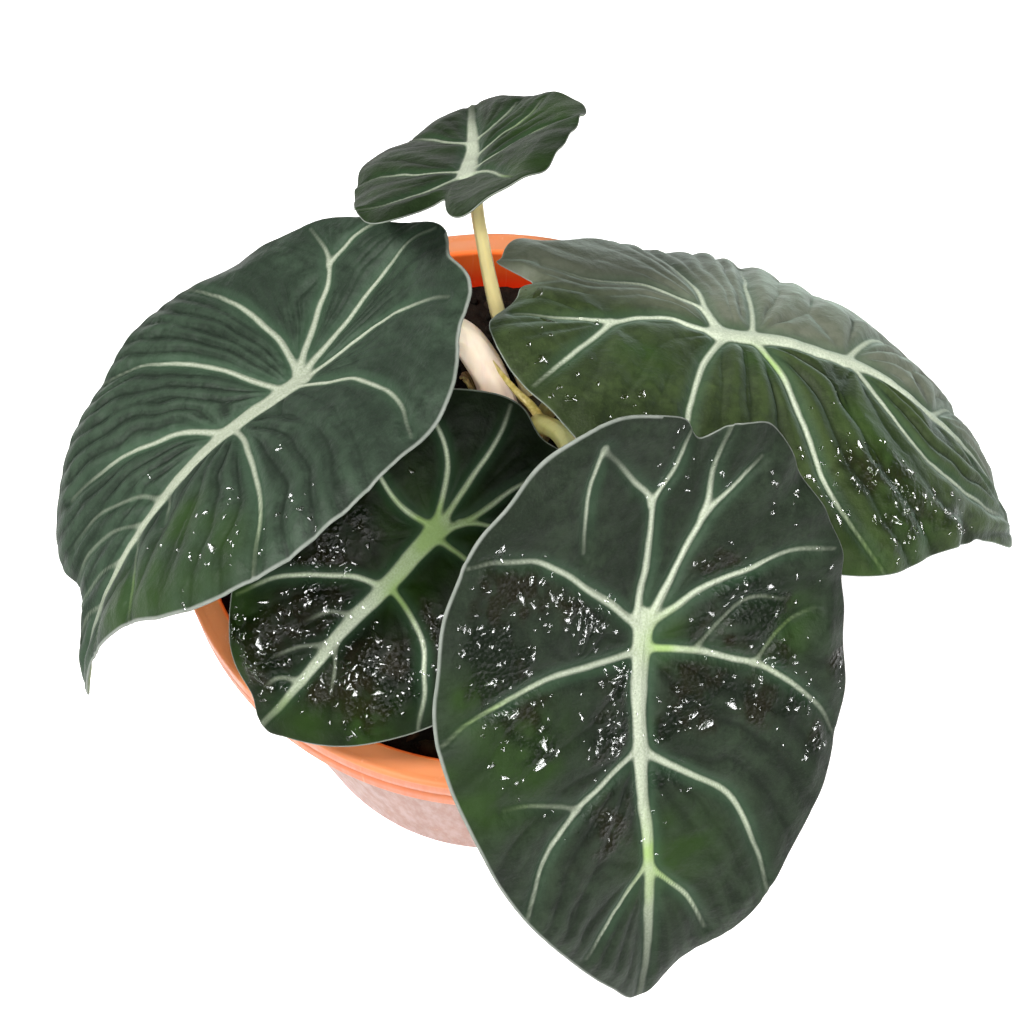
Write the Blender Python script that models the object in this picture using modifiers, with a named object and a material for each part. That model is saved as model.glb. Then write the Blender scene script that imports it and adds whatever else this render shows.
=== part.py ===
"""Potted black-velvet alocasia: a small peltate-leaved aroid in a 12 cm terracotta-coloured nursery pot.

Five blades stand on five petioles that rise from one short rhizome. Metres, +Z up. The origin is the centre
of the pot's underside, on the surface that it stands on, and +Y points to the back of the plant.
"""

import math

import bmesh
import bpy
import numpy as np
from mathutils import Vector

MM = 0.001
GAP = 0.3

# The pot, in millimetres: an injection-moulded pot whose collar is an inverted U, open below.
POT_HEIGHT = 82.5
RIM_RADIUS = 60.0
MOUTH_RADIUS = 54.8
COLLAR_DEPTH = 9.9
COLLAR_SKIRT = 1.3
FLANGE_THICKNESS = 1.6
WALL_TOP_RADIUS = 56.4
BASE_RADIUS = 43.4
WALL = 1.5
FLOOR = 2.0
POT_STEPS = 64
DRAIN_HOLES = 6
DRAIN_RADIUS = 4.0
DRAIN_CIRCLE = 31.0

# The soil stands about 10 mm below the rim, with low mounds, and takes the foot of the rhizome.
SOIL_LEVEL = 71.5
SOIL_STEPS = 48

# The rhizome's crown, a little behind the middle of the pot.
CROWN_X = 4.5
CROWN_Y = 20.5
CROWN_RADIUS = 8.0
CROWN_TOP = 76.0
CROWN_FOOT = 50.0

# The blades, in millimetres and degrees.
#   joint    where the petiole meets the blade
#   heading  the way the midrib points, counted from +X towards +Y
#   pitch    how far the midrib starts below the horizontal
#   roll     how far the left half is lifted
#   droop    how much more the midrib bends down by the tip
#   curl     how much the lobes behind the joint bend down, or up if negative
#   fold     the slope of the left and right halves beside the midrib, and
#   arch     what each half's slope has gained by the margin, both counted downwards
#   sweep    how far the tip swings to the left
#   skew     how far the notch is turned from straight back
#   left     the reach of the margin from the joint along each bearing from the tip, and
#   right    the same on the other side
BEARINGS = (0, 6, 15, 30, 50, 75, 100, 125, 147, 165, 180)
LEAVES = {
    "leaf_left": dict(
        joint=(-33.0, -3.0, 122.0), heading=-145, pitch=11, roll=26, droop=58, curl=-24,
        fold=(-10, -17), arch=(20, 13), sweep=3.0, skew=-11,
        left=(68, 58, 50, 46, 43, 38, 35, 35, 33.5, 36, 34),
        right=(68, 55, 53, 47, 41, 38, 35, 35, 33.5, 36, 34),
    ),
    "leaf_back": dict(
        joint=(-5.0, 26.0, 141.0), heading=86, pitch=35, roll=-21, droop=-13, curl=-1,
        fold=(-13, -12), arch=(13, 8), sweep=1.0, skew=-13,
        left=(39, 37, 34, 28.5, 25.5, 21, 19.5, 20.5, 22.5, 22.5, 13),
        right=(39, 38, 34, 30, 26.5, 21.5, 19.5, 20.5, 22.5, 23.5, 13),
    ),
    "leaf_right": dict(
        joint=(39.0, 8.0, 121.0), heading=-2, pitch=14, roll=-21, droop=58, curl=2,
        fold=(-3, 2), arch=(33, 35), sweep=-2.6, skew=-5,
        left=(72, 70, 64, 58, 52, 45, 40, 39, 39.5, 40.5, 36),
        right=(72, 72, 63, 55, 51, 44, 40, 40, 42, 42, 36),
    ),
    "leaf_front": dict(
        joint=(23.0, -48.0, 124.0), heading=-84, pitch=45, roll=-23, droop=12, curl=-23,
        fold=(-11, -9), arch=(11, 12), sweep=0.0, skew=1,
        left=(69, 64, 61, 52, 45, 38, 36, 34.5, 36.5, 33.5, 34),
        right=(69, 64, 57, 49, 42, 38, 36, 36, 36, 37, 34),
    ),
    "leaf_inner": dict(
        joint=(-9.7, -23.8, 108.5), heading=-136, pitch=19, roll=-10, droop=25, curl=2,
        fold=(-10, -11), arch=(11, 10), sweep=-0.2, skew=-4,
        left=(46, 44, 41, 36, 31, 26.5, 24, 24, 25, 26, 24),
        right=(46, 43, 41, 37, 32, 27, 24, 24, 25, 26, 24),
    ),
}
BLADE_THICKNESS = 0.9
BLADE_RINGS = (0.06, 0.25, 0.45, 0.65, 0.84, 1.0)
BLADE_SPOKES = 40

# Each petiole: its foot on the rhizome's top and the points that it passes through up to its last bend, with
# its radius at each, and its radius at the blade. It starts and ends a small gap clear of both.
PETIOLES = {
    "leaf_left": ([(1.4, 20.6), (-2.0, 22.0, 90.0), (-9.0, 19.5, 106.0), (-22.0, 8.0, 116.0)],
                  (3.5, 3.3, 2.7, 2.1), 1.9),
    "leaf_back": ([(6.4, 26.2), (0.6, 26.5, 100.0), (-2.8, 27.5, 124.0)], (1.6, 1.4, 1.2), 1.1),
    "leaf_right": ([(10.4, 21.4), (16.0, 20.5, 94.0), (29.0, 15.0, 112.0)], (1.9, 1.8, 1.7), 1.7),
    "leaf_front": ([(7.4, 15.8), (9.0, 11.0, 87.0), (14.0, -2.0, 98.0)], (2.0, 1.9, 1.8), 1.8),
    "leaf_inner": ([(2.4, 14.4), (-0.5, 6.0, 86.0), (-6.5, -12.0, 98.0)], (1.6, 1.5, 1.4), 1.3),
}

COLOURS = {
    "pot": ((0.72, 0.22, 0.08), 0.45),
    "soil": ((0.035, 0.022, 0.015), 0.95),
    "rhizome": ((0.16, 0.10, 0.05), 0.7),
    "cataphyll": ((0.30, 0.21, 0.08), 0.6),
    "blade": ((0.045, 0.085, 0.055), 0.45),
    "petiole": ((0.62, 0.62, 0.38), 0.4),
    "stalk": ((0.78, 0.66, 0.58), 0.4),
}


def clear_scene():
    for item in list(bpy.data.objects):
        bpy.data.objects.remove(item, do_unlink=True)


def new_collection(name):
    made = bpy.data.collections.new(name)
    bpy.context.scene.collection.children.link(made)
    return made


def material(name):
    colour, roughness = COLOURS[name]
    made = bpy.data.materials.new(name)
    made.use_nodes = True
    shader = made.node_tree.nodes["Principled BSDF"]
    shader.inputs["Base Color"].default_value = (*colour, 1.0)
    shader.inputs["Roughness"].default_value = roughness
    shader.inputs["Metallic"].default_value = 0.0
    return made


def add_object(name, data, collection, look):
    made = bpy.data.objects.new(name, data)
    collection.objects.link(made)
    if look:
        data.materials.append(material(look))
    return made


def turned(name, profile, steps, collection, look):
    """A turned solid from (radius, height) points in millimetres that end on the axis."""
    mesh = bpy.data.meshes.new(name)
    points = [(radius * MM, 0.0, height * MM) for radius, height in profile]
    mesh.from_pydata(points, [(i, i + 1) for i in range(len(points) - 1)], [])
    made = add_object(name, mesh, collection, look)
    screw = made.modifiers.new("Turn", "SCREW")
    screw.steps = steps
    screw.render_steps = steps
    screw.use_merge_vertices = True
    screw.merge_threshold = 0.00001
    return made


def cut(target, cutter):
    boolean = target.modifiers.new("Cut " + cutter.name, "BOOLEAN")
    boolean.operation = "DIFFERENCE"
    boolean.object = cutter
    boolean.solver = "EXACT"


def cylinder_cutter(name, radius, low, high, place, collection):
    mesh = bpy.data.meshes.new(name)
    shape = bmesh.new()
    bmesh.ops.create_cone(shape, cap_ends=True, segments=24, radius1=radius * MM, radius2=radius * MM,
                          depth=(high - low) * MM)
    shape.to_mesh(mesh)
    shape.free()
    made = add_object(name, mesh, collection, None)
    made.location = (place[0] * MM, place[1] * MM, (low + high) / 2 * MM)
    made.hide_render = True
    made.display_type = "WIRE"
    return made


def wall_radius(height):
    """The outer radius of the tapered wall at a height."""
    return BASE_RADIUS + (WALL_TOP_RADIUS - BASE_RADIUS) * height / (POT_HEIGHT - COLLAR_DEPTH)


def inner_radius(height):
    """The inner radius of the wall: it follows the taper, then runs straight up inside the collar."""
    return min(wall_radius(height) - WALL, MOUTH_RADIUS)


def make_pot(parts, cutters):
    skirt_end = POT_HEIGHT - COLLAR_DEPTH
    under_flange = POT_HEIGHT - FLANGE_THICKNESS
    profile = [
        (0.0, FLOOR),
        (inner_radius(FLOOR) - 1.5, FLOOR),
        (inner_radius(FLOOR + 1.5), FLOOR + 1.5),
        (inner_radius(skirt_end), skirt_end),
        (MOUTH_RADIUS, POT_HEIGHT - 1.2),
        (MOUTH_RADIUS + 0.4, POT_HEIGHT - 0.3),
        (MOUTH_RADIUS + 1.2, POT_HEIGHT),
        (RIM_RADIUS - 1.4, POT_HEIGHT - 0.2),
        (RIM_RADIUS - 0.4, POT_HEIGHT - 0.6),
        (RIM_RADIUS, POT_HEIGHT - 1.5),
        (RIM_RADIUS - 0.2, skirt_end + 0.3),
        (RIM_RADIUS - 0.5, skirt_end),
        (RIM_RADIUS - 0.2 - COLLAR_SKIRT, skirt_end),
        (RIM_RADIUS - COLLAR_SKIRT, under_flange - 0.6),
        (RIM_RADIUS - COLLAR_SKIRT - 0.6, under_flange),
        (WALL_TOP_RADIUS + 0.8, under_flange),
        (WALL_TOP_RADIUS + 0.2, under_flange - 0.6),
        (WALL_TOP_RADIUS, skirt_end),
        (wall_radius(2.0), 2.0),
        (BASE_RADIUS - 0.7, 0.5),
        (BASE_RADIUS - 1.8, 0.0),
        (0.0, 0.0),
    ]
    pot = turned("pot", profile, POT_STEPS, parts, "pot")
    for number in range(DRAIN_HOLES):
        turn = 2 * math.pi * (number + 0.5) / DRAIN_HOLES
        place = (DRAIN_CIRCLE * math.cos(turn), DRAIN_CIRCLE * math.sin(turn))
        cut(pot, cylinder_cutter(f"drain_{number + 1}", DRAIN_RADIUS, -2.0, FLOOR + 2.0, place, cutters))
    return pot


def soil_height(x, y):
    """The soil's low mounds, in millimetres above its level."""
    rise = 0.9 * math.sin(0.11 * x + 0.6) * math.cos(0.13 * y - 0.3)
    rise += 0.5 * math.sin(0.23 * x - 0.17 * y)
    return rise + 1.6 * math.exp(-((x - CROWN_X) ** 2 + (y - CROWN_Y) ** 2) / 300.0)


def make_soil(parts, cutters):
    floor = FLOOR + GAP
    side = [(inner_radius(height) - GAP - 0.2, height) for height in (floor + 2.0, 30.0, SOIL_LEVEL - 2.5)]
    edge = inner_radius(SOIL_LEVEL) - GAP - 0.2
    top = [(edge * share, SOIL_LEVEL) for share in (0.2, 0.4, 0.6, 0.8, 0.95)]
    profile = [(0.0, SOIL_LEVEL)] + top + [(edge, SOIL_LEVEL - 1.0)] + side[::-1]
    profile += [(inner_radius(floor) - 2.5, floor), (0.0, floor)]
    soil = turned("soil", profile, SOIL_STEPS, parts, "soil")
    flat = evaluated_mesh(soil, "soil_mounds")
    for vertex in flat.vertices:
        x, y, z = (part / MM for part in vertex.co)
        if z > SOIL_LEVEL - 0.5:
            vertex.co.z += soil_height(x, y) * MM
    soil.modifiers.clear()
    soil.data = flat
    pocket = cylinder_cutter("rhizome_pocket", CROWN_RADIUS + GAP, CROWN_FOOT - GAP, 90.0,
                             (CROWN_X, CROWN_Y), cutters)
    cut(soil, pocket)
    return soil


def evaluated_mesh(item, name):
    """The mesh of an object with its modifiers applied."""
    graph = bpy.context.evaluated_depsgraph_get()
    mesh = bpy.data.meshes.new_from_object(item.evaluated_get(graph))
    mesh.name = name
    return mesh


def make_rhizome(parts):
    """A stubby stem ringed with old leaf scars, flat where the petioles leave it."""
    profile = [(0.0, CROWN_TOP), (CROWN_RADIUS - 0.8, CROWN_TOP), (CROWN_RADIUS - 0.2, CROWN_TOP - 0.7)]
    height = CROWN_TOP - 2.0
    while height > CROWN_FOOT + 6.0:
        profile += [(CROWN_RADIUS - 0.3, height), (CROWN_RADIUS - 1.0, height - 1.2)]
        height -= 3.2
    profile += [(CROWN_RADIUS - 2.5, CROWN_FOOT + 1.5), (CROWN_RADIUS - 5.0, CROWN_FOOT), (0.0, CROWN_FOOT)]
    rhizome = turned("rhizome", profile, 24, parts, "rhizome")
    rhizome.location = (CROWN_X * MM, CROWN_Y * MM, 0.0)
    return rhizome


def closed_curve(knots, values, angle):
    """A smooth closed curve through values at knots in degrees: cubic pieces with centred slopes."""
    knots = np.array(knots, float)
    values = np.array(values, float)
    spans = np.diff(np.append(knots, knots[0] + 360.0))
    rises = np.diff(np.append(values, values[0])) / spans
    slopes = (np.roll(rises, 1) * spans + rises * np.roll(spans, 1)) / (spans + np.roll(spans, 1))
    angle = np.mod(angle, 360.0)
    index = np.searchsorted(knots, angle, side="right") - 1
    after = (index + 1) % len(knots)
    span = spans[index]
    t = (angle - knots[index]) / span
    start = (1 + 2 * t) * (1 - t) ** 2 * values[index] + t * (1 - t) ** 2 * span * slopes[index]
    end = t * t * (3 - 2 * t) * values[after] - t * t * (1 - t) * span * slopes[after]
    return start + end


def margin_reach(leaf, bearing):
    """The distance from the joint to the margin along each bearing, in degrees from -180 to 180."""
    knots = list(BEARINGS) + [360 - angle for angle in BEARINGS[-2:0:-1]]
    values = list(leaf["left"]) + list(leaf["right"][-2:0:-1])
    turned_back = ((1 - np.cos(np.radians(bearing))) / 2) ** 2
    return closed_curve(knots, values, bearing - leaf["skew"] * turned_back)


def ring_reach(leaf, bearing, share):
    """The reach of an inner ring: rings away from the margin lose the drip tip's point."""
    nose = 1 - 0.2 * np.exp(-((bearing / 14.0) ** 2))
    near = share ** 4
    return share * margin_reach(leaf, bearing) * (near + (1 - near) * nose)


def run_along(slope, distance, steps=24):
    """Where a line goes that starts level and slopes down by slope(s) radians after s."""
    shares = (np.arange(steps) + 0.5) / steps
    angles = slope(distance[..., None] * shares)
    return distance * np.cos(angles).mean(-1), -distance * np.sin(angles).mean(-1)


def blade_frame(leaf):
    """The blade's forward, left and upward directions at the joint."""
    heading, pitch, roll = (math.radians(leaf[key]) for key in ("heading", "pitch", "roll"))
    level = np.array((math.cos(heading), math.sin(heading), 0.0))
    across = np.array((-math.sin(heading), math.cos(heading), 0.0))
    up = np.array((0.0, 0.0, 1.0))
    forward = level * math.cos(pitch) - up * math.sin(pitch)
    normal = level * math.sin(pitch) + up * math.cos(pitch)
    left = across * math.cos(roll) + normal * math.sin(roll)
    return forward, left, normal * math.cos(roll) - across * math.sin(roll)


def blade_points(leaf, x, y):
    """Where the flat blade's points, x along the midrib and y to the left, lie on the bent blade."""
    length = float(leaf["left"][0])
    width = 0.55 * length
    droop = math.radians(leaf["droop"])
    curl = math.radians(leaf["curl"])

    def slope(s):
        ahead = np.clip(s, 0.0, None) / length
        return droop * ahead ** 1.5 + curl * np.clip(s, None, 0.0) / (0.5 * length)

    along, below = run_along(slope, x)
    side = (y < 0).astype(int)
    fold = np.radians(np.array(leaf["fold"], float))[side]
    arch = np.radians(np.array(leaf["arch"], float))[side]
    out = np.abs(y)
    shares = (np.arange(24) + 0.5) / 24
    angles = fold[..., None] + arch[..., None] * out[..., None] * shares / width
    across = np.sign(y) * out * np.cos(angles).mean(-1)
    lower = -out * np.sin(angles).mean(-1)
    across = across + leaf["sweep"] * np.sign(x) * (x / length) ** 2
    tilt = slope(x)
    forward, left, up = blade_frame(leaf)
    ahead = along + lower * np.sin(tilt)
    high = below + lower * np.cos(tilt)
    joint = np.array(leaf["joint"])
    return joint + ahead[..., None] * forward + across[..., None] * left + high[..., None] * up


def spoke_bearings():
    """The bearings of the blade's spokes, closer together at the tip and at the notch."""
    even = np.arange(BLADE_SPOKES) / BLADE_SPOKES * 360.0 - 180.0
    return even - 9.0 * np.sin(np.radians(2.0 * even))


def make_blade(name, leaf, parts):
    """A spun disc of rings and spokes, bent into the blade and given its thickness."""
    shape = bmesh.new()
    line = [shape.verts.new((share, 0.0, 0.0)) for share in BLADE_RINGS]
    edges = [shape.edges.new(pair) for pair in zip(line, line[1:])]
    bmesh.ops.spin(shape, geom=line + edges, cent=(0, 0, 0), axis=(0, 0, 1), angle=2 * math.pi,
                   steps=BLADE_SPOKES, use_merge=True)
    bmesh.ops.holes_fill(shape, edges=[e for e in shape.edges if inner_edge(e)], sides=BLADE_SPOKES)
    bmesh.ops.recalc_face_normals(shape, faces=shape.faces)
    bearings = spoke_bearings()
    for vertex in shape.verts:
        share = math.hypot(vertex.co.x, vertex.co.y)
        spoke = round(math.degrees(math.atan2(vertex.co.y, vertex.co.x)) / 360 * BLADE_SPOKES)
        bearing = bearings[(spoke + BLADE_SPOKES // 2) % BLADE_SPOKES]
        reach = float(ring_reach(leaf, np.array(bearing), share))
        x = reach * math.cos(math.radians(bearing))
        y = reach * math.sin(math.radians(bearing))
        vertex.co = Vector(blade_points(leaf, np.array([x]), np.array([y]))[0] * MM)
    mesh = bpy.data.meshes.new(name + "_blade")
    shape.to_mesh(mesh)
    shape.free()
    mesh.shade_smooth()
    blade = add_object(name + "_blade", mesh, parts, "blade")
    solidify = blade.modifiers.new("Thickness", "SOLIDIFY")
    solidify.thickness = BLADE_THICKNESS * MM
    solidify.offset = 0.0
    return blade


def inner_edge(edge):
    return all(vertex.co.xy.length < BLADE_RINGS[0] * 1.01 for vertex in edge.verts)


def lifted_foot(route, radius):
    """The first point of a petiole, raised so that its leaning end clears the rhizome's top."""
    foot = Vector((*route[0], CROWN_TOP))
    lean = (Vector(route[1]) - foot).normalized().xy.length
    return Vector((foot.x, foot.y, CROWN_TOP + GAP + 0.1 + radius * lean))


def make_petiole(name, leaf, parts):
    route, radii, end_radius = PETIOLES[name]
    normal = blade_frame(leaf)[2]
    end = np.array(leaf["joint"]) - normal * (BLADE_THICKNESS / 2 + GAP + 0.1)
    bend = np.array(leaf["joint"]) - normal * 4.0 * end_radius
    points = [lifted_foot(route, radii[0]), *route[1:], bend, end]
    widths = [*radii, end_radius, end_radius]
    curve = bpy.data.curves.new(name + "_petiole", "CURVE")
    curve.dimensions = "3D"
    curve.bevel_depth = MM
    curve.bevel_resolution = 2
    curve.use_fill_caps = True
    curve.resolution_u = 4
    spline = curve.splines.new("BEZIER")
    spline.bezier_points.add(len(points) - 1)
    for knot, place, width in zip(spline.bezier_points, points, widths):
        knot.co = Vector(place) * MM
        knot.radius = width
        knot.handle_left_type = "AUTO"
        knot.handle_right_type = "AUTO"
    return add_object(name + "_petiole", curve, parts, "stalk" if name == "leaf_left" else "petiole")


def make_cataphyll(parts):
    """The short dry scale leaf that clasps the foot of the thickest petiole on its outer side."""
    mesh = bpy.data.meshes.new("cataphyll")
    shape = bmesh.new()
    rows = 7
    columns = 9
    route, radii, _ = PETIOLES["leaf_left"]
    foot = lifted_foot(route, radii[0])
    above = Vector(route[1])
    grid = []
    for row in range(rows):
        rise = row / (rows - 1)
        half_angle = math.radians(95.0 * (1.0 - rise ** 2) + 4.0)
        centre = foot.lerp(above, 0.05 + 0.95 * rise)
        radius = radii[0] + GAP + 0.1 + 0.5 * rise
        turns = [math.radians(215.0) + half_angle * (2 * column / (columns - 1) - 1) for column in range(columns)]
        grid.append([shape.verts.new((centre + Vector((math.cos(a), math.sin(a), 0)) * radius) * MM)
                     for a in turns])
    for low, high in zip(grid, grid[1:]):
        for a, b, c, d in zip(low, low[1:], high[1:], high):
            shape.faces.new((a, b, c, d))
    shape.to_mesh(mesh)
    shape.free()
    mesh.shade_smooth()
    scale_leaf = add_object("cataphyll", mesh, parts, "cataphyll")
    solidify = scale_leaf.modifiers.new("Thickness", "SOLIDIFY")
    solidify.thickness = 0.6 * MM
    solidify.offset = 1.0
    return scale_leaf


def main():
    clear_scene()
    parts = new_collection("potted_alocasia")
    cutters = new_collection("cutters")
    make_pot(parts, cutters)
    make_soil(parts, cutters)
    make_rhizome(parts)
    make_cataphyll(parts)
    for name, leaf in LEAVES.items():
        make_blade(name, leaf, parts)
        make_petiole(name, leaf, parts)


main()
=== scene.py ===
"""Looks for the potted alocasia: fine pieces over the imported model, a pale floor, soft light and the camera.

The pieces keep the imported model's frame: metres, +Z up, the origin at the centre of the pot's underside.
Shapes are worked out in millimetres and scaled by MM when a mesh is made.
"""

import math

import bmesh
import bpy
import numpy as np
from mathutils import Matrix, Vector


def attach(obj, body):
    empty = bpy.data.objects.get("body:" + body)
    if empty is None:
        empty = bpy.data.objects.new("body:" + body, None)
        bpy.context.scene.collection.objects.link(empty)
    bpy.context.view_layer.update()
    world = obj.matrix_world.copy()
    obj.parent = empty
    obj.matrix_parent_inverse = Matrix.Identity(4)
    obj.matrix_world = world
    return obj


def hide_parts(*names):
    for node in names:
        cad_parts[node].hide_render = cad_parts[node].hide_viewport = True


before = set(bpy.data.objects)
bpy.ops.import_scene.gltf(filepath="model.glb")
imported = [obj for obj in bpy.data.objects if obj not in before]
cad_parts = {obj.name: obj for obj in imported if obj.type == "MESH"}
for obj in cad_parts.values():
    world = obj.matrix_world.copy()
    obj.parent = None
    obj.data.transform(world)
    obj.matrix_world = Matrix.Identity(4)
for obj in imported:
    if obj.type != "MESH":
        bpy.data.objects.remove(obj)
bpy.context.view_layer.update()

MM = 0.001

# The leaves' shapes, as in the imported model: place, pose, bend and outline, in millimetres and degrees. The
# outline is the distance from the joint to the margin at the bearings, on the left and on the right half.
# Nicks are small cuts in the margin: bearing, width and depth, or a small lobe where the depth is negative.
BEARINGS = (0, 6, 15, 30, 50, 75, 100, 125, 147, 165, 180)
LEAVES = {
    "leaf_left": dict(
        joint=(-33.0, -3.0, 122.0), heading=-145, pitch=11, roll=26, droop=58, curl=-24,
        fold=(-10, -17), arch=(20, 13), sweep=3.0, skew=-11,
        left=(68, 58, 50, 46, 43, 38, 35, 35, 33.5, 36, 34),
        right=(68, 55, 53, 47, 41, 38, 35, 35, 33.5, 36, 34),
        nicks=((-24, 14, -1.6),),
    ),
    "leaf_back": dict(
        joint=(-5.0, 26.0, 141.0), heading=86, pitch=35, roll=-21, droop=-13, curl=-1,
        fold=(-13, -12), arch=(13, 8), sweep=1.0, skew=-13,
        left=(39, 37, 34, 28.5, 25.5, 21, 19.5, 20.5, 22.5, 22.5, 13),
        right=(39, 38, 34, 30, 26.5, 21.5, 19.5, 20.5, 22.5, 23.5, 13),
        nicks=((155, 8, 6.5), (174, 6, -2.5)),
    ),
    "leaf_right": dict(
        joint=(39.0, 8.0, 121.0), heading=-2, pitch=14, roll=-21, droop=58, curl=2,
        fold=(-3, 2), arch=(33, 35), sweep=-2.6, skew=-5,
        left=(72, 70, 64, 58, 52, 45, 40, 39, 39.5, 40.5, 36),
        right=(72, 72, 63, 55, 51, 44, 40, 40, 42, 42, 36),
        nicks=((168.3, 2.9, 3.6), (164.3, 2.0, -1.8), (-143, 13, 1.6), (-24, 1.8, 0.5),
               (-18, 1.5, 0.6)),
    ),
    "leaf_front": dict(
        joint=(23.0, -48.0, 124.0), heading=-84, pitch=45, roll=-23, droop=12, curl=-23,
        fold=(-11, -9), arch=(11, 12), sweep=0.0, skew=1,
        left=(69, 64, 61, 52, 45, 38, 36, 34.5, 36.5, 33.5, 34),
        right=(69, 64, 57, 49, 42, 38, 36, 36, 36, 37, 34),
        nicks=((165, 4.5, 3.0), (-178, 15, -2.2), (150, 8, -0.6)),
    ),
    "leaf_inner": dict(
        joint=(-9.7, -23.8, 108.5), heading=-136, pitch=19, roll=-10, droop=25, curl=2,
        fold=(-10, -11), arch=(11, 10), sweep=-0.2, skew=-4,
        left=(46, 44, 41, 36, 31, 26.5, 24, 24, 25, 26, 24),
        right=(46, 43, 41, 37, 32, 27, 24, 24, 25, 26, 24),
    ),
}

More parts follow.
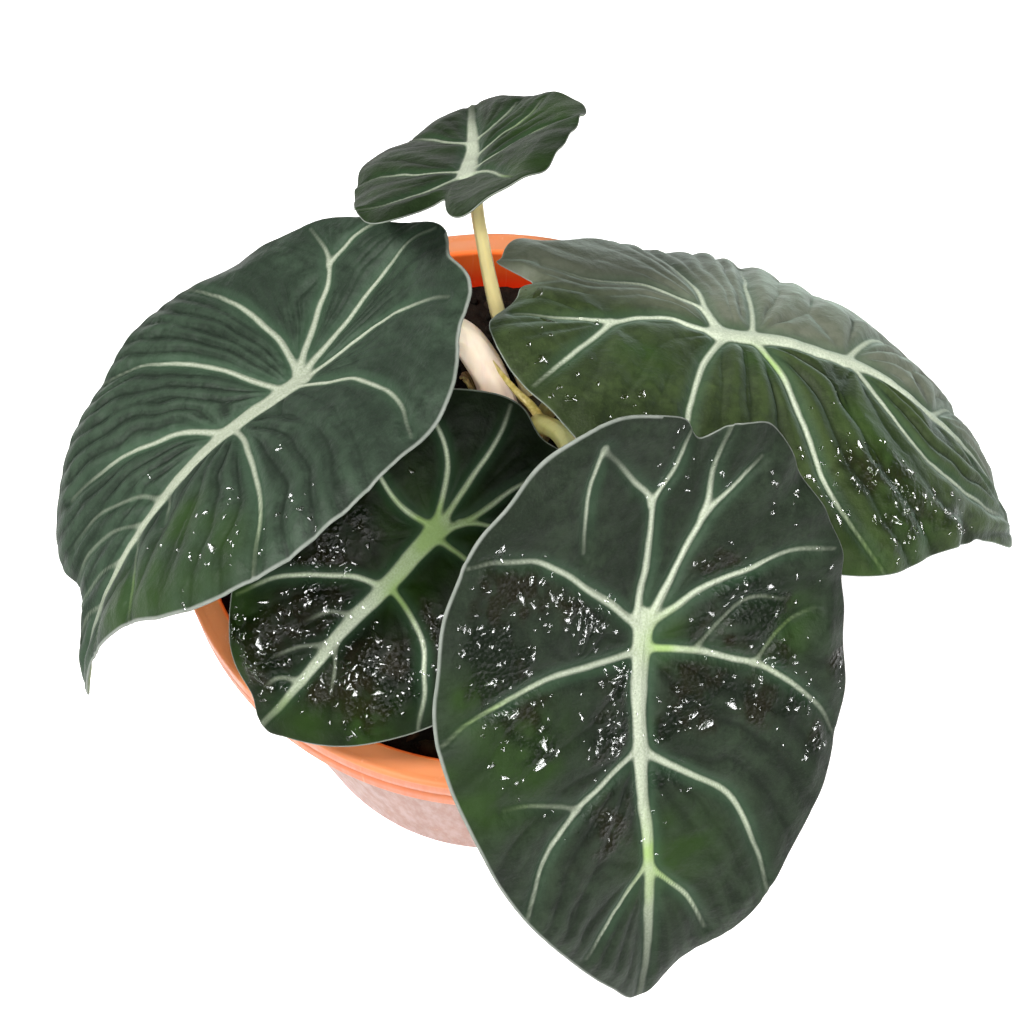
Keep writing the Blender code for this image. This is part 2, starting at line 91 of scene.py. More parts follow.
# The veins on the flat leaf: a width at the root, then points in millimetres, x towards the tip and y to the
# left. The first of each leaf is the midrib.
VEINS = {
    "leaf_left": (
        (2.1, (-1, 0), (14, 0), (28, 0), (42, 1), (55, 1), (67, 0)),
        (0.75, (3, -1), (6, -7), (11, -16), (16, -23), (20, -27), (26, -31)),
        (0.75, (15, -1), (20, -7), (26, -11), (33, -15), (42, -18)),
        (0.7, (13, 1), (13, 9), (15, 18), (17, 24), (21, 30), (24, 34)),
        (0.95, (-1, -2), (-2, -11), (-1, -20), (1, -27), (5, -36)),
        (1.0, (-1, -2), (-10, -10), (-18, -17), (-20, -27)),
        (0.55, (-18, -17), (-25, -17), (-30, -15)),
        (0.95, (-1, -1), (-11, -4), (-22, -6), (-30, -6), (-35, -3)),
        (0.8, (-1, 0), (-10, 1), (-18, 3), (-24, 8), (-28, 14)),
        (0.7, (1, 1), (-4, 7), (-8, 12), (-10, 19), (-10, 25), (-8, 32)),
        (0.32, (30, -1), (34, -6), (40, -10), (47, -12)),
        (0.3, (36, -1), (40, -5), (46, -8), (53, -9)),
        (0.3, (43, 0), (47, -3), (53, -5), (59, -6)),
        (0.28, (50, 1), (54, -2), (59, -3)),
        (0.26, (28, 1), (29, 4), (31, 7)),
        (0.3, (36, 1), (39, 6), (43, 12), (47, 16)),
        (0.28, (49, 1), (53, 5), (57, 7)),
    ),
    "leaf_back": (
        (2.0, (-1, 0), (10, 0), (20, 0), (30, 0), (38.5, 0)),
        (0.42, (2, 1), (3, 8), (6, 15), (7, 20)),
        (0.8, (18, 1), (21, 5), (24, 8), (28, 12)),
        (0.55, (2, -1), (4, -6), (7, -12), (6, -19)),
        (0.45, (10, -1), (14, -6), (18, -11), (23, -14)),
        (0.45, (19, -1), (22, -4), (25, -7), (29, -9)),
        (0.42, (-1, 1), (-6, 6), (-10, 11), (-12, 17)),
        (0.42, (-1, -1), (-4, -4), (-8, -6), (-16, -9)),
    ),
    "leaf_right": (
        (2.1, (-1, 0), (14, 2), (28, 2), (43, 0), (58, 0), (71, 0)),
        (1.0, (6, -1), (10, -8), (13, -18), (17, -28), (23, -34), (32, -40)),
        (0.85, (25, 1), (32, -9), (42, -14), (56, -12), (68, -5)),
        (0.4, (46, 0), (53, -4), (60, -5), (66, -3)),
        (0.7, (5, 1), (7, 11), (8, 18), (9, 25), (12, 36)),
        (0.75, (23, 1), (27, 7), (31, 12), (36, 17), (45, 21), (48, 19)),
        (0.6, (43, 0), (49, 7), (56, 13), (62, 16)),
        (0.95, (0, 1), (-2, 6), (-3, 15), (-6, 24), (-9, 34)),
        (0.9, (-1, 1), (-3, 7), (-8, 10), (-15, 12), (-22, 10), (-31, 12)),
        (1.05, (-1, 0), (-6, 1), (-10, 2), (-16, 0), (-20, -2), (-28, -3), (-37, -4)),
        (0.6, (-20, -2), (-25, -9), (-30, -15), (-34, -20)),
        (0.85, (0, -1), (-4, -7), (-6, -12), (-8, -20), (-9, -30), (-12, -37)),
    ),
    "leaf_front": (
        (2.0, (-1, 0), (8, -1.2), (16, -1.6), (25, -1.4), (35, -0.5), (48, 0.3), (68, 0)),
        (1.05, (-1, -1), (-11, 1), (-20, 1), (-25, -3), (-32, -9)),
        (0.5, (-20, 1), (-26, 4), (-33, 7)),
        (0.42, (-32, -9), (-24, -11), (-15, -11)),
        (1.1, (0, 1), (-9, 6), (-17, 10), (-26, 11), (-33, 13)),
        (0.6, (-17, 10), (-21, 14), (-26, 19)),
        (0.9, (0, 1), (-4, 10), (-6, 18), (-8, 26), (-7, 34)),
        (0.95, (0, -1), (-5, -6), (-11, -13), (-15, -19), (-17, -26), (-17, -31)),
        (0.85, (4, -1), (4, -12), (4, -19), (6, -27), (8, -32), (11, -36)),
        (0.85, (4, 1), (6, 9), (10, 19), (15, 26), (20, 31), (26, 35)),
        (0.8, (20, -2), (23, -8), (27, -14), (32, -19), (38, -22), (46, -24)),
        (0.8, (21, -1), (27, 8), (33, 15), (42, 19), (53, 22)),
        (0.3, (27, -14), (24, -20), (23, -27)),
        (0.3, (5, 9), (-1, 17), (0, 26)),
        (0.32, (10, 19), (5, 24), (3, 31)),
        (0.6, (42, -1), (48, -7), (55, -12)),
        (0.6, (43, 1), (49, 7), (57, 11)),
    ),
    "leaf_inner": (
        (2.0, (-1, 0), (9, 0), (19, 0), (32, 0), (45.5, 0)),
        (0.6, (0, -1), (1, -6), (0, -12), (-1, -21)),
        (0.65, (-1, -1), (-6, -4), (-10, -7), (-13, -12), (-15, -18)),
        (0.75, (-1, 0), (-10, -2), (-16, -3), (-20, -4), (-24, -6)),
        (0.75, (-1, 1), (-6, 3), (-12, 4), (-18, 6), (-23, 8)),
        (0.5, (-4, 2), (-6, 5), (-9, 9), (-13, 14)),
        (0.55, (1, 1), (0, 7), (-1, 15), (-3, 21)),
        (0.6, (13, -1), (15, -5), (19, -10), (22, -13), (25, -15), (31, -18)),
        (0.6, (12, 1), (13, 7), (15, 12), (18, 15), (21, 18), (26, 21)),
        (0.26, (20, -1), (22, -4), (26, -6)),
        (0.26, (27, -1), (30, -4), (34, -6)),
        (0.26, (26, 1), (29, 4), (32, 6)),
        (0.24, (34, 0), (36, -3), (39, -4)),
    ),
}

# The blades' surfaces, one leaf after another:
#   wet: patches of water drops: x, y, spread and number; soaked: a factor on the numbers
#   green: greener patches: x, y and spread; bumps: x, y, spread and height
#   ridges: how many between two veins, and their height, which also sets how strong their painted shade and
#       highlight are; puff: how far the blade stands up between its veins
#   margin: the width of the pale edge on the left and right halves; wave: the height of the margin's waves
#   ruffles: more waves in the margin: bearing, width, height and waves in a full turn
#   bold: how pale the side veins are; shine: how light all veins are, and on the inner leaf painted light that
#       lifts its veins out of the other leaves' shade
#   tone: the skin's colour; frosted: how far a painted sheen greys the left half; gloss, sheen: the dry skin's
SURFACE = {
    "leaf_left": dict(
        wet=((19, 16, 2.0, 5), (11, 28, 1.5, 5), (23, 16, 1.2, 3), (13, 34, 1.6, 8), (24, 24, 2.0, 5),
             (22, 28, 2.0, 6), (20, 29, 1.6, 6), (31, 19, 2.4, 6), (37, 8, 2.0, 4), (28, -5, 1.0, 2),
             (8, 15, 2.0, 4), (30, 26, 3.0, 8)),
        green=((26, 25, 6), (37, 18, 8), (46, 12, 6), (27, 13, 4)),
        bumps=((20, 8, 6.0, 0.5), (-10, -22, 7.0, 0.6)),
        ridges=(6, 0.8), puff=0.9, margin=(0.5, 0.12), wave=0.5, bold=0.95, shine=0.78,
        tone=(0.0225, 0.0372, 0.0232),
    ),
    "leaf_back": dict(
        wet=(),
        green=((14, -16, 8), (-14, -10, 5)),
        bumps=((12, 12, 5.0, 0.5),),
        ridges=(3, 0.3), puff=0.7, margin=(0.08, 0.08), wave=0.5, bold=0.65, gloss=0.06, sheen=0.0,
        tone=(0.015, 0.028, 0.010),
    ),
    "leaf_right": dict(
        wet=((22, -24, 3.0, 34), (31, -31, 3.0, 26), (44, -24, 2.6, 26), (36, -26, 2.4, 16),
             (18, -30, 1.2, 6), (21, -32, 1.2, 8), (12, -23, 1.2, 8), (14, -28, 1.2, 8), (50, -22, 2.0, 14),
             (20, -16, 2.0, 8), (30, -22, 3.0, 12), (-34, -14, 1.5, 5), (-30, -5, 1.5, 4), (-25, -4, 1.2, 4),
             (-33, 1, 1.2, 4), (-29, -22, 1.5, 5), (-24, -23, 1.5, 4), (-19, -22, 1.5, 5), (-33, -19, 1.5, 4),
             (-26, -16, 1.5, 5), (-32, -10, 1.5, 4)),
        green=((24, -14, 5), (26, -38, 6), (37, -29, 6), (30, -21, 6), (-16, -11, 5), (6, -6, 4)),
        bumps=((30, 13, 6.0, 1.2), (47, -25, 3.0, 1.2), (52, -20, 2.6, -1.2), (40, -29, 3.0, -0.8)),
        ridges=(4, 1.3), puff=1.2, margin=(0.12, 0.12), wave=0.8, bold=0.95, shine=1.15, sheen=0.22,
        painted_sheen_share=0.9, tone=(0.029, 0.044, 0.014), ruffles=((-30, 16, 0.45, 34), (21, 10, 0.3, 30)),
    ),
    "leaf_front": dict(
        wet=((-3, -10, 1.8, 50), (-7, -14, 1.8, 40), (-11, -18, 2.4, 8), (-4, -22, 2.6, 9), (11, -8, 2.2, 26),
             (16, -5, 1.8, 18), (18, -9, 2.0, 22), (-14, -26, 3.0, 14), (-11, -21, 2.4, 14),
             (-5, -28, 3.0, 16), (-1, -26, 3.0, 14), (3, -27, 3.0, 14), (7, -24, 3.0, 14), (14, -20, 2.4, 12),
             (15, -24, 2.4, 8), (10, -31, 2.0, 4), (7, -5, 1.6, 12), (10, 7, 2.2, 12), (16, 7, 2.4, 12),
             (18, 3, 1.6, 10),
             (26, 3, 2.0, 10), (-24, 5, 1.6, 7), (-24, 11, 1.2, 5), (-22, 21, 1.0, 4), (-16, 24, 1.4, 6),
             (-5, 32, 1.4, 6), (-30, 5, 1.6, 8), (13, 35, 1.6, 10), (8, 14, 6.0, 12), (30, -8, 5.0, 14),
             (10, 23, 2.0, 16), (18, 27, 1.8, 18), (25, 30, 1.6, 14), (17, 20, 2.2, 14), (-3, 18, 2.6, 12),
             (-7, 13, 2.6, 10), (1, 23, 2.6, 10)),
        green=((14, -21, 6), (19, -30, 8), (3, 4, 4), (4, -31, 5), (40, 4, 8), (5, 26, 5)),
        bumps=((3, 27, 2.6, -1.1), (8, 31, 2.6, 0.9), (-5, -17, 6.0, 0.6), (-20, 17, 6.0, 0.5)),
        ridges=(4, 0.45), puff=0.9, margin=(0.16, 0.45), wave=0.7, bold=0.9, tone=(0.0160, 0.0250, 0.0140),
        ruffles=((112, 34, 0.9, 19),),
    ),
    "leaf_inner": dict(
        wet=((23, -5, 2.6, 42), (20, -9, 3.0, 30), (31, -9, 3.0, 34), (35, -7, 2.6, 24), (38, -4, 2.0, 18),
             (23, 5, 2.4, 26), (21, 12, 2.6, 26), (33, 3, 2.0, 20), (28, 4, 2.4, 22), (33, 12, 1.6, 8),
             (35, -14, 1.6, 20), (16, -10, 2.6, 18), (12, 10, 2.6, 12), (28, 11, 4.0, 18),
             (10, -12, 4.0, 12)),
        green=((0, 0, 9), (33, -14, 5), (38, -10, 4), (40, 5, 5), (31, 15, 6), (12, 4, 4), (30, -17, 4)),
        bumps=((35, -7, 3.4, 1.5), (30, -3, 3.0, -0.5), (24, 9, 5.0, 0.7), (22, -8, 4.0, 0.6)),
        # The inner leaf's shine is painted light: its veins are lightened against the shade of the leaves
        # above.
        ridges=(4, 0.4), puff=0.9, margin=(0.25, 0.3), wave=0.5, bold=1.0, shine=1.3, gloss=0.08, soaked=1.25,
        tone=(0.0065, 0.0115, 0.0045),
    ),
}
FLAT_VECTOR = "flat"
LEAF_SHIFT = 50.0       # keeps the patterns of two leaves apart
RINGS = 128
UNDER_STEP = 4          # the under face has every fourth ring only
SPOKES = 512
THICKNESS = 0.5
EDGE_ROUNDING = 0.5
THINNEST_VEIN = 0.16
MAIN_VEIN = 0.4         # from this width a vein is lined with ridges and is pale
VEIN_BLEND = 0.4
VEIN_ONWARD = 16.0      # how far past its end a vein still bends the ridges
SOAKING_DROPS = 9       # a patch with more drops than this wets the blade between them
DROP_RINGS = 4
DROP_SPOKES = 12

# The pot, the soil and the crown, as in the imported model.
POT_HEIGHT = 82.5
RIM_RADIUS = 60.0
MOUTH_RADIUS = 54.8
COLLAR_DEPTH = 9.9
WALL_TOP_RADIUS = 56.4
BASE_RADIUS = 43.4
WALL = 1.5
FLOOR = 2.0
WALL_TOP = POT_HEIGHT - COLLAR_DEPTH
WALL_SLOPE = (WALL_TOP_RADIUS - BASE_RADIUS) / WALL_TOP
DRAIN_HOLES = 6
DRAIN_HOLE_RADIUS = 4.0
DRAIN_RING_RADIUS = 31.0
SOIL_LEVEL = 71.5
CROWN = (4.5, 20.5)
CROWN_RADIUS = 8.0
CROWN_TOP = 76.0
CROWN_FOOT = 50.0

# Each petiole's route (its foot on the crown, then points on the way to the joint), its radius along it, its
# radius at the blade, and its two colours, foot and top.
PETIOLES = {
    "leaf_left": ([(1.4, 20.6), (-2.0, 22.0, 90.0), (-9.0, 19.5, 106.0), (-22.0, 8.0, 116.0)],
                  (3.5, 3.3, 2.7, 2.1), 1.9, (0.93, 0.72, 0.62), (0.88, 0.83, 0.68)),
    "leaf_back": ([(6.4, 26.2), (0.6, 26.5, 100.0), (-2.8, 27.5, 124.0)],
                  (1.6, 1.4, 1.2), 1.1, (0.50, 0.43, 0.22), (0.47, 0.41, 0.19)),
    "leaf_right": ([(10.4, 21.4), (16.0, 20.5, 94.0), (29.0, 15.0, 112.0)],
                   (1.9, 1.8, 1.7), 1.7, (0.66, 0.60, 0.30), (0.60, 0.62, 0.34)),
    "leaf_front": ([(7.4, 15.8), (9.0, 11.0, 87.0), (14.0, -2.0, 98.0)],
                   (2.0, 1.9, 1.8), 1.8, (0.55, 0.48, 0.14), (0.58, 0.60, 0.26)),
    "leaf_inner": ([(2.4, 14.4), (-0.5, 6.0, 86.0), (-6.5, -12.0, 98.0)],
                   (1.6, 1.5, 1.4), 1.3, (0.56, 0.52, 0.20), (0.58, 0.60, 0.28)),
}

# The lamps: name, place, size, power, colour and role. They light everything, or show only as glints, or only
# as glints in the drops, or light only the crown's pieces.
LAMPS = (
    ("key", (-0.55, -0.10, 0.95), 0.26, 13.0, (1.0, 0.99, 0.97), "all"),
    ("fill", (0.60, -0.55, 0.80), 0.60, 4.0, (1.0, 1.0, 1.0), "all"),
    ("front", (0.05, -0.45, 0.75), 0.35, 4.5, (1.0, 1.0, 1.0), "all"),
    ("glint_back", (-0.15, 0.75, 0.80), 0.14, 3.0, (1.0, 1.0, 1.0), "glints"),
    ("glint_front", (-0.35, -0.75, 0.70), 0.12, 3.0, (1.0, 1.0, 1.0), "glints"),
    ("drops_left", (-0.85, 0.60, 0.35), 0.50, 95.0, (1.0, 1.0, 1.0), "drops"),
    ("drops_front", (-0.52, -0.66, 0.72), 0.60, 150.0, (1.0, 1.0, 1.0), "drops"),
    ("drops_back", (0.80, 0.45, 0.52), 0.50, 95.0, (1.0, 1.0, 1.0), "drops"),
    ("drops_right", (0.80, -0.68, 0.20), 0.55, 115.0, (1.0, 1.0, 1.0), "drops"),
    ("crown_fill", (0.0, -0.20, 0.42), 0.06, 2.4, (1.0, 0.97, 0.94), "crown"),
)
CROWN_PIECES = ("leaf_left_stalk", "leaf_back_stalk", "leaf_left_sheath", "leaf_front_stalk")

FLOOR_REACH = 12000.0
CAMERA_PLACE = (0.0, -0.165225, 0.371393)
CAMERA_PAN, CAMERA_TILT, CAMERA_ROLL = 0.0208, 1.0654, 0.0278
CAMERA_LENS = 62.25


# ---------------------------------------------------------------- numbers

def lattice_noise(x, y, size, seed):
    """Smooth random values from -1 to 1 over the plane, in patches of about size."""
    table = np.random.default_rng(seed).uniform(-1, 1, (64, 64))
    u, v = np.asarray(x) / size, np.asarray(y) / size
    i, j = np.floor(u).astype(int), np.floor(v).astype(int)
    a, b = u - i, v - j
    a, b = a * a * (3 - 2 * a), b * b * (3 - 2 * b)

    def at(p, q):
        return table[p % 64, q % 64]

    low = at(i, j) * (1 - a) + at(i + 1, j) * a
    high = at(i, j + 1) * (1 - a) + at(i + 1, j + 1) * a
    return low * (1 - b) + high * b


def smooth_step(value, low, high):
    t = np.clip((value - low) / (high - low), 0.0, 1.0)
    return t * t * (3 - 2 * t)


def smooth_line(points, steps):
    """Points along a Catmull-Rom curve through the given ones."""
    points = np.array(points, float)
    ends = np.vstack([2 * points[0] - points[1], points, 2 * points[-1] - points[-2]])
    made = []
    for a, b, c, d in zip(ends, ends[1:], ends[2:], ends[3:]):
        for t in np.arange(steps) / steps:
            made.append(0.5 * (2 * b + (c - a) * t + (2 * a - 5 * b + 4 * c - d) * t * t
                               + (3 * b - a - 3 * c + d) * t ** 3))
    return np.array(made + [points[-1]])


def line_distance(line, x, y):
    """The distance from each point to a line of points, and the share of the line's length there."""
    best = np.full(x.shape, 1e9)
    share = np.zeros(x.shape)
    lengths = np.hypot(*np.diff(line, axis=0).T)
    starts = np.concatenate([[0.0], np.cumsum(lengths)])
    for (ax, ay), (bx, by), length, start in zip(line, line[1:], lengths, starts):
        dx, dy = (bx - ax) / length, (by - ay) / length
        along = np.clip((x - ax) * dx + (y - ay) * dy, 0.0, length)
        distance = np.hypot(x - ax - along * dx, y - ay - along * dy)
        nearer = distance < best
        best = np.where(nearer, distance, best)
        share = np.where(nearer, (start + along) / starts[-1], share)
    return best, share


# ---------------------------------------------------------------- the blade's shape

def closed_curve(knots, values, angle):
    """A smooth closed curve through values at knots in degrees: cubic pieces with centred slopes."""
    knots = np.array(knots, float)
    values = np.array(values, float)
    spans = np.diff(np.append(knots, knots[0] + 360.0))
    rises = np.diff(np.append(values, values[0])) / spans
    slopes = (np.roll(rises, 1) * spans + rises * np.roll(spans, 1)) / (spans + np.roll(spans, 1))
    angle = np.mod(angle, 360.0)
    index = np.searchsorted(knots, angle, side="right") - 1
    after = (index + 1) % len(knots)
    span = spans[index]
    t = (angle - knots[index]) / span
    start = (1 + 2 * t) * (1 - t) ** 2 * values[index] + t * (1 - t) ** 2 * span * slopes[index]
    end = t * t * (3 - 2 * t) * values[after] - t * t * (1 - t) * span * slopes[after]
    return start + end


def margin_reach(leaf, bearing):
    """The distance from the joint to the margin along each bearing, in degrees from -180 to 180."""
    knots = list(BEARINGS) + [360 - angle for angle in BEARINGS[-2:0:-1]]
    values = list(leaf["left"]) + list(leaf["right"][-2:0:-1])
    turned_back = ((1 - np.cos(np.radians(bearing))) / 2) ** 2
    reach = closed_curve(knots, values, bearing - leaf["skew"] * turned_back)
    for centre, width, depth in leaf.get("nicks", ()):
        off = np.mod(bearing - centre + 180.0, 360.0) - 180.0
        reach = reach - depth * np.exp(-((off / width) ** 2))
    return reach


def ring_reach(leaf, bearing, share):
    """The reach of an inner ring: rings away from the margin lose the drip tip's point."""
    nose = 1 - 0.2 * np.exp(-((bearing / 14.0) ** 2))
    near = share ** 4
    return share * margin_reach(leaf, bearing) * (near + (1 - near) * nose)


def run_along(slope, distance, steps=24):
    """Where a line goes that starts level and slopes down by slope(s) radians after s."""
    shares = (np.arange(steps) + 0.5) / steps
    angles = slope(distance[..., None] * shares)
    return distance * np.cos(angles).mean(-1), -distance * np.sin(angles).mean(-1)


def blade_frame(leaf):
    """The blade's forward, left and upward directions at the joint."""
    heading, pitch, roll = (math.radians(leaf[key]) for key in ("heading", "pitch", "roll"))
    level = np.array((math.cos(heading), math.sin(heading), 0.0))
    across = np.array((-math.sin(heading), math.cos(heading), 0.0))
    up = np.array((0.0, 0.0, 1.0))
    forward = level * math.cos(pitch) - up * math.sin(pitch)
    normal = level * math.sin(pitch) + up * math.cos(pitch)
    left = across * math.cos(roll) + normal * math.sin(roll)
    return forward, left, normal * math.cos(roll) - across * math.sin(roll)


def blade_points(leaf, x, y):
    """Where the flat blade's points, x along the midrib and y to the left, lie on the bent blade."""
    length = float(leaf["left"][0])
    width = 0.55 * length
    droop = math.radians(leaf["droop"])
    curl = math.radians(leaf["curl"])

    def slope(s):
        ahead = np.clip(s, 0.0, None) / length
        return droop * ahead ** 1.5 + curl * np.clip(s, None, 0.0) / (0.5 * length)

    along, below = run_along(slope, x)
    side = (y < 0).astype(int)
    fold = np.radians(np.array(leaf["fold"], float))[side]
    arch = np.radians(np.array(leaf["arch"], float))[side]
    out = np.abs(y)
    shares = (np.arange(24) + 0.5) / 24
    angles = fold[..., None] + arch[..., None] * out[..., None] * shares / width
    across = np.sign(y) * out * np.cos(angles).mean(-1)
    soft = 0.3 + 3.0 * smooth_step(-x, 0.0, 9.0)
    lower = -(np.sqrt(y * y + soft * soft) - soft) * np.sin(angles).mean(-1)
    across = across + leaf["sweep"] * np.sign(x) * (x / length) ** 2
    tilt = slope(x)
    forward, left, up = blade_frame(leaf)
    ahead = along + lower * np.sin(tilt)
    high = below + lower * np.cos(tilt)
    joint = np.array(leaf["joint"])
    return joint + ahead[..., None] * forward + across[..., None] * left + high[..., None] * up


def blade_normals(leaf, x, y, step=0.4):
    """The upward direction square to the smooth blade."""
    ahead = blade_points(leaf, x + step, y) - blade_points(leaf, x - step, y)
    aside = blade_points(leaf, x, y + step) - blade_points(leaf, x, y - step)
    normals = np.cross(ahead, aside)
    return normals / np.linalg.norm(normals, axis=-1, keepdims=True)


def patches(spots, x, y):
    """The sum of soft round patches (x, y, spread, height)."""
    total = np.zeros(x.shape)
    for px, py, spread, height in spots:
        total += height * np.exp(-((x - px) ** 2 + (y - py) ** 2) / (2 * spread ** 2))
    return total


def blade_fields(name, x, y):
    """What the blade's relief and colour are made from at flat points, in millimetres."""
    leaf, look = LEAVES[name], SURFACE[name]
    seed = list(LEAVES).index(name) * 10
    bearing = np.degrees(np.arctan2(y, x))
    reach = margin_reach(leaf, bearing)
    edge = np.clip(reach - np.hypot(x, y), 0.0, None)
    total, paled = np.zeros(x.shape), np.zeros(x.shape)
    nearest = np.full(x.shape, 1e9)
    second = np.full(x.shape, 1e9)
    wander_x = x + 0.3 * lattice_noise(x, y, 5.0, seed + 1)
    wander_y = y + 0.3 * lattice_noise(x, y, 5.0, seed + 2)
    for number, (width, *points) in enumerate(VEINS[name]):
        line = smooth_line(points, 6)
        ahead = line[-1] - line[max(-13, -len(line))]
        onward = ahead / np.linalg.norm(ahead) * VEIN_ONWARD
        onward_distance, share = line_distance(np.vstack([line, line[-1] + onward]), wander_x, wander_y)
        length = np.hypot(*np.diff(line, axis=0).T).sum()
        share = share * (length + VEIN_ONWARD) / length
        to_end = np.hypot(wander_x - line[-1, 0], wander_y - line[-1, 1])
        distance = np.where(share > 1.0, to_end, onward_distance)
        share = np.clip(share, 0.0, 1.0)
        half = np.maximum(width * (0.50 if number else 0.80) * (1 - share * 0.75), THINNEST_VEIN)
        weight = np.exp(-np.clip(distance - half, -4, 40) / VEIN_BLEND)
        bold = (look["bold"] if number else 1.0) * (0.3 if width < MAIN_VEIN else 1.0)
        total += weight
        paled += weight * bold * (1 - 0.85 * smooth_step(share, 0.55, 1.0))
        if width > MAIN_VEIN:
            further = np.maximum(onward_distance, nearest)
            nearest = np.minimum(onward_distance, nearest)
            second = np.minimum(second, further)
    vein = -VEIN_BLEND * np.log(np.clip(total, 1e-30, None))
    between = nearest / (nearest + second)
    # The ridges' pattern shapes the relief and also places painted shade in their valleys and a painted
    # highlight on their crests.
    warp = 0.035 * lattice_noise(x, y, 5.0, seed + 3)
    crest = np.abs(np.sin(math.pi * look["ridges"][0] * (between + warp)))
    crest = 0.62 + (crest - 0.62) * (0.45 + 0.55 * smooth_step(x, -8.0, 12.0))
    wet = patches([(px, py, s * 1.1, 0.9) for px, py, s, n in look["wet"] if n > SOAKING_DROPS], x, y)
    ragged = lattice_noise(x, y, 1.6, seed + 4) * np.sqrt(np.clip(wet, 0, 1))
    wet = np.clip(wet * 1.3 + 0.8 * ragged - 0.25, 0, 1)
    green = patches([(px, py, s * 0.7, 1.0) for px, py, s in look["green"]], x, y)
    green = np.clip(green * (1 + 0.6 * lattice_noise(x, y, 3.0, seed + 5)), 0, 1)
    pale = paled / np.clip(total, 1e-60, None)
    # A painted sheen: the left half greyed, as velvet looks from a grazing view.
    painted_sheen = look.get("painted_sheen_share", 0.0) * smooth_step(y, 0.0, 9.0 - 5.0 * smooth_step(x, -10.0, 10.0))
    return dict(vein=vein, pale=pale, edge=edge, crest=crest, wet=wet, green=green, painted_sheen=painted_sheen,
                bearing=bearing, reach=reach)


def blade_relief(name, x, y, fields):
    """How far the upper face stands off the smooth blade, in millimetres."""
    look = SURFACE[name]
    seed = list(LEAVES).index(name) * 10
    vein, edge = fields["vein"], fields["edge"]
    inside = smooth_step(edge, 0.0, 5.0)
    puff = look["puff"] * (1 - np.exp(-np.clip(vein, 0, None) / 2.6)) * inside
    ridge = look["ridges"][1] * (fields["crest"] ** 0.8 - 0.62) * smooth_step(vein, 0.3, 3.0)
    ridge = ridge * (0.35 + 0.65 * inside) * (0.75 + 0.5 * lattice_noise(x, y, 9.0, seed + 6))
    rib = 0.32 * np.sqrt(np.clip(-vein, 0, 1.6))
    groove = -0.22 * np.exp(-((vein - 0.5) / 0.5) ** 2)
    rough = 0.10 * lattice_noise(x, y, 2.2, seed + 7) + 0.22 * lattice_noise(x, y, 6.0, seed + 8)
    share = 1 - edge / fields["reach"]
    turn = np.radians(fields["bearing"])
    wave = np.sin(5 * turn + seed) + 0.7 * np.sin(9 * turn + 2 * seed) + 0.5 * np.sin(16 * turn + 3 * seed)
    wave = look["wave"] * wave * np.clip(share, 0, 1) ** 7
    for centre, width, height, waves in look.get("ruffles", ()):
        local = np.exp(-(((fields["bearing"] - centre) / width) ** 2)) * np.clip(share, 0, 1) ** 8
        wave = wave + height * local * np.sin(waves * turn)
    roll = -0.35 * np.exp(-edge / 1.2)
    bumps = patches(look["bumps"], x, y)
    return puff + ridge + rib + groove + rough * inside + wave + roll + bumps


# ---------------------------------------------------------------- meshes

def set_attribute(mesh, name, values):
    values = np.asarray(values, np.float32)
    if values.ndim == 1:
        mesh.attributes.new(name, "FLOAT", "POINT").data.foreach_set("value", values)
    else:
        mesh.attributes.new(name, "FLOAT_VECTOR", "POINT").data.foreach_set("vector", values.ravel())


def add_piece(name, points, faces, look, smooth=True):
    """A mesh object from points in millimetres."""
    mesh = bpy.data.meshes.new(name)
    mesh.from_pydata((np.asarray(points) * MM).tolist(), [], [list(map(int, face)) for face in faces])
    mesh.update()
    if smooth:
        mesh.shade_smooth()
    piece = bpy.data.objects.new(name, mesh)
    bpy.context.scene.collection.objects.link(piece)
    mesh.materials.append(look)
    return piece


def settle(piece, slot, *nodes):
    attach(piece, "root")
    if nodes:
        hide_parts(*nodes)


def grid_faces(rows, columns, first=0, flip=False, closed=True):
    """Quads between rows of points, each row closed into a ring."""
    row = np.arange(rows - 1)[:, None] * columns
    column = np.arange(columns if closed else columns - 1)[None, :]
    after = (column + 1) % columns
    quads = np.stack([row + column, row + after, row + columns + after, row + columns + column], -1)
    quads = quads.reshape(-1, 4) + first
    return quads[:, ::-1] if flip else quads


def fan_faces(centre, first, columns, flip=False):
    column = np.arange(columns)
    fan = np.stack([np.full(columns, centre), first + column, first + (column + 1) % columns], -1)
    return fan[:, ::-1] if flip else fan


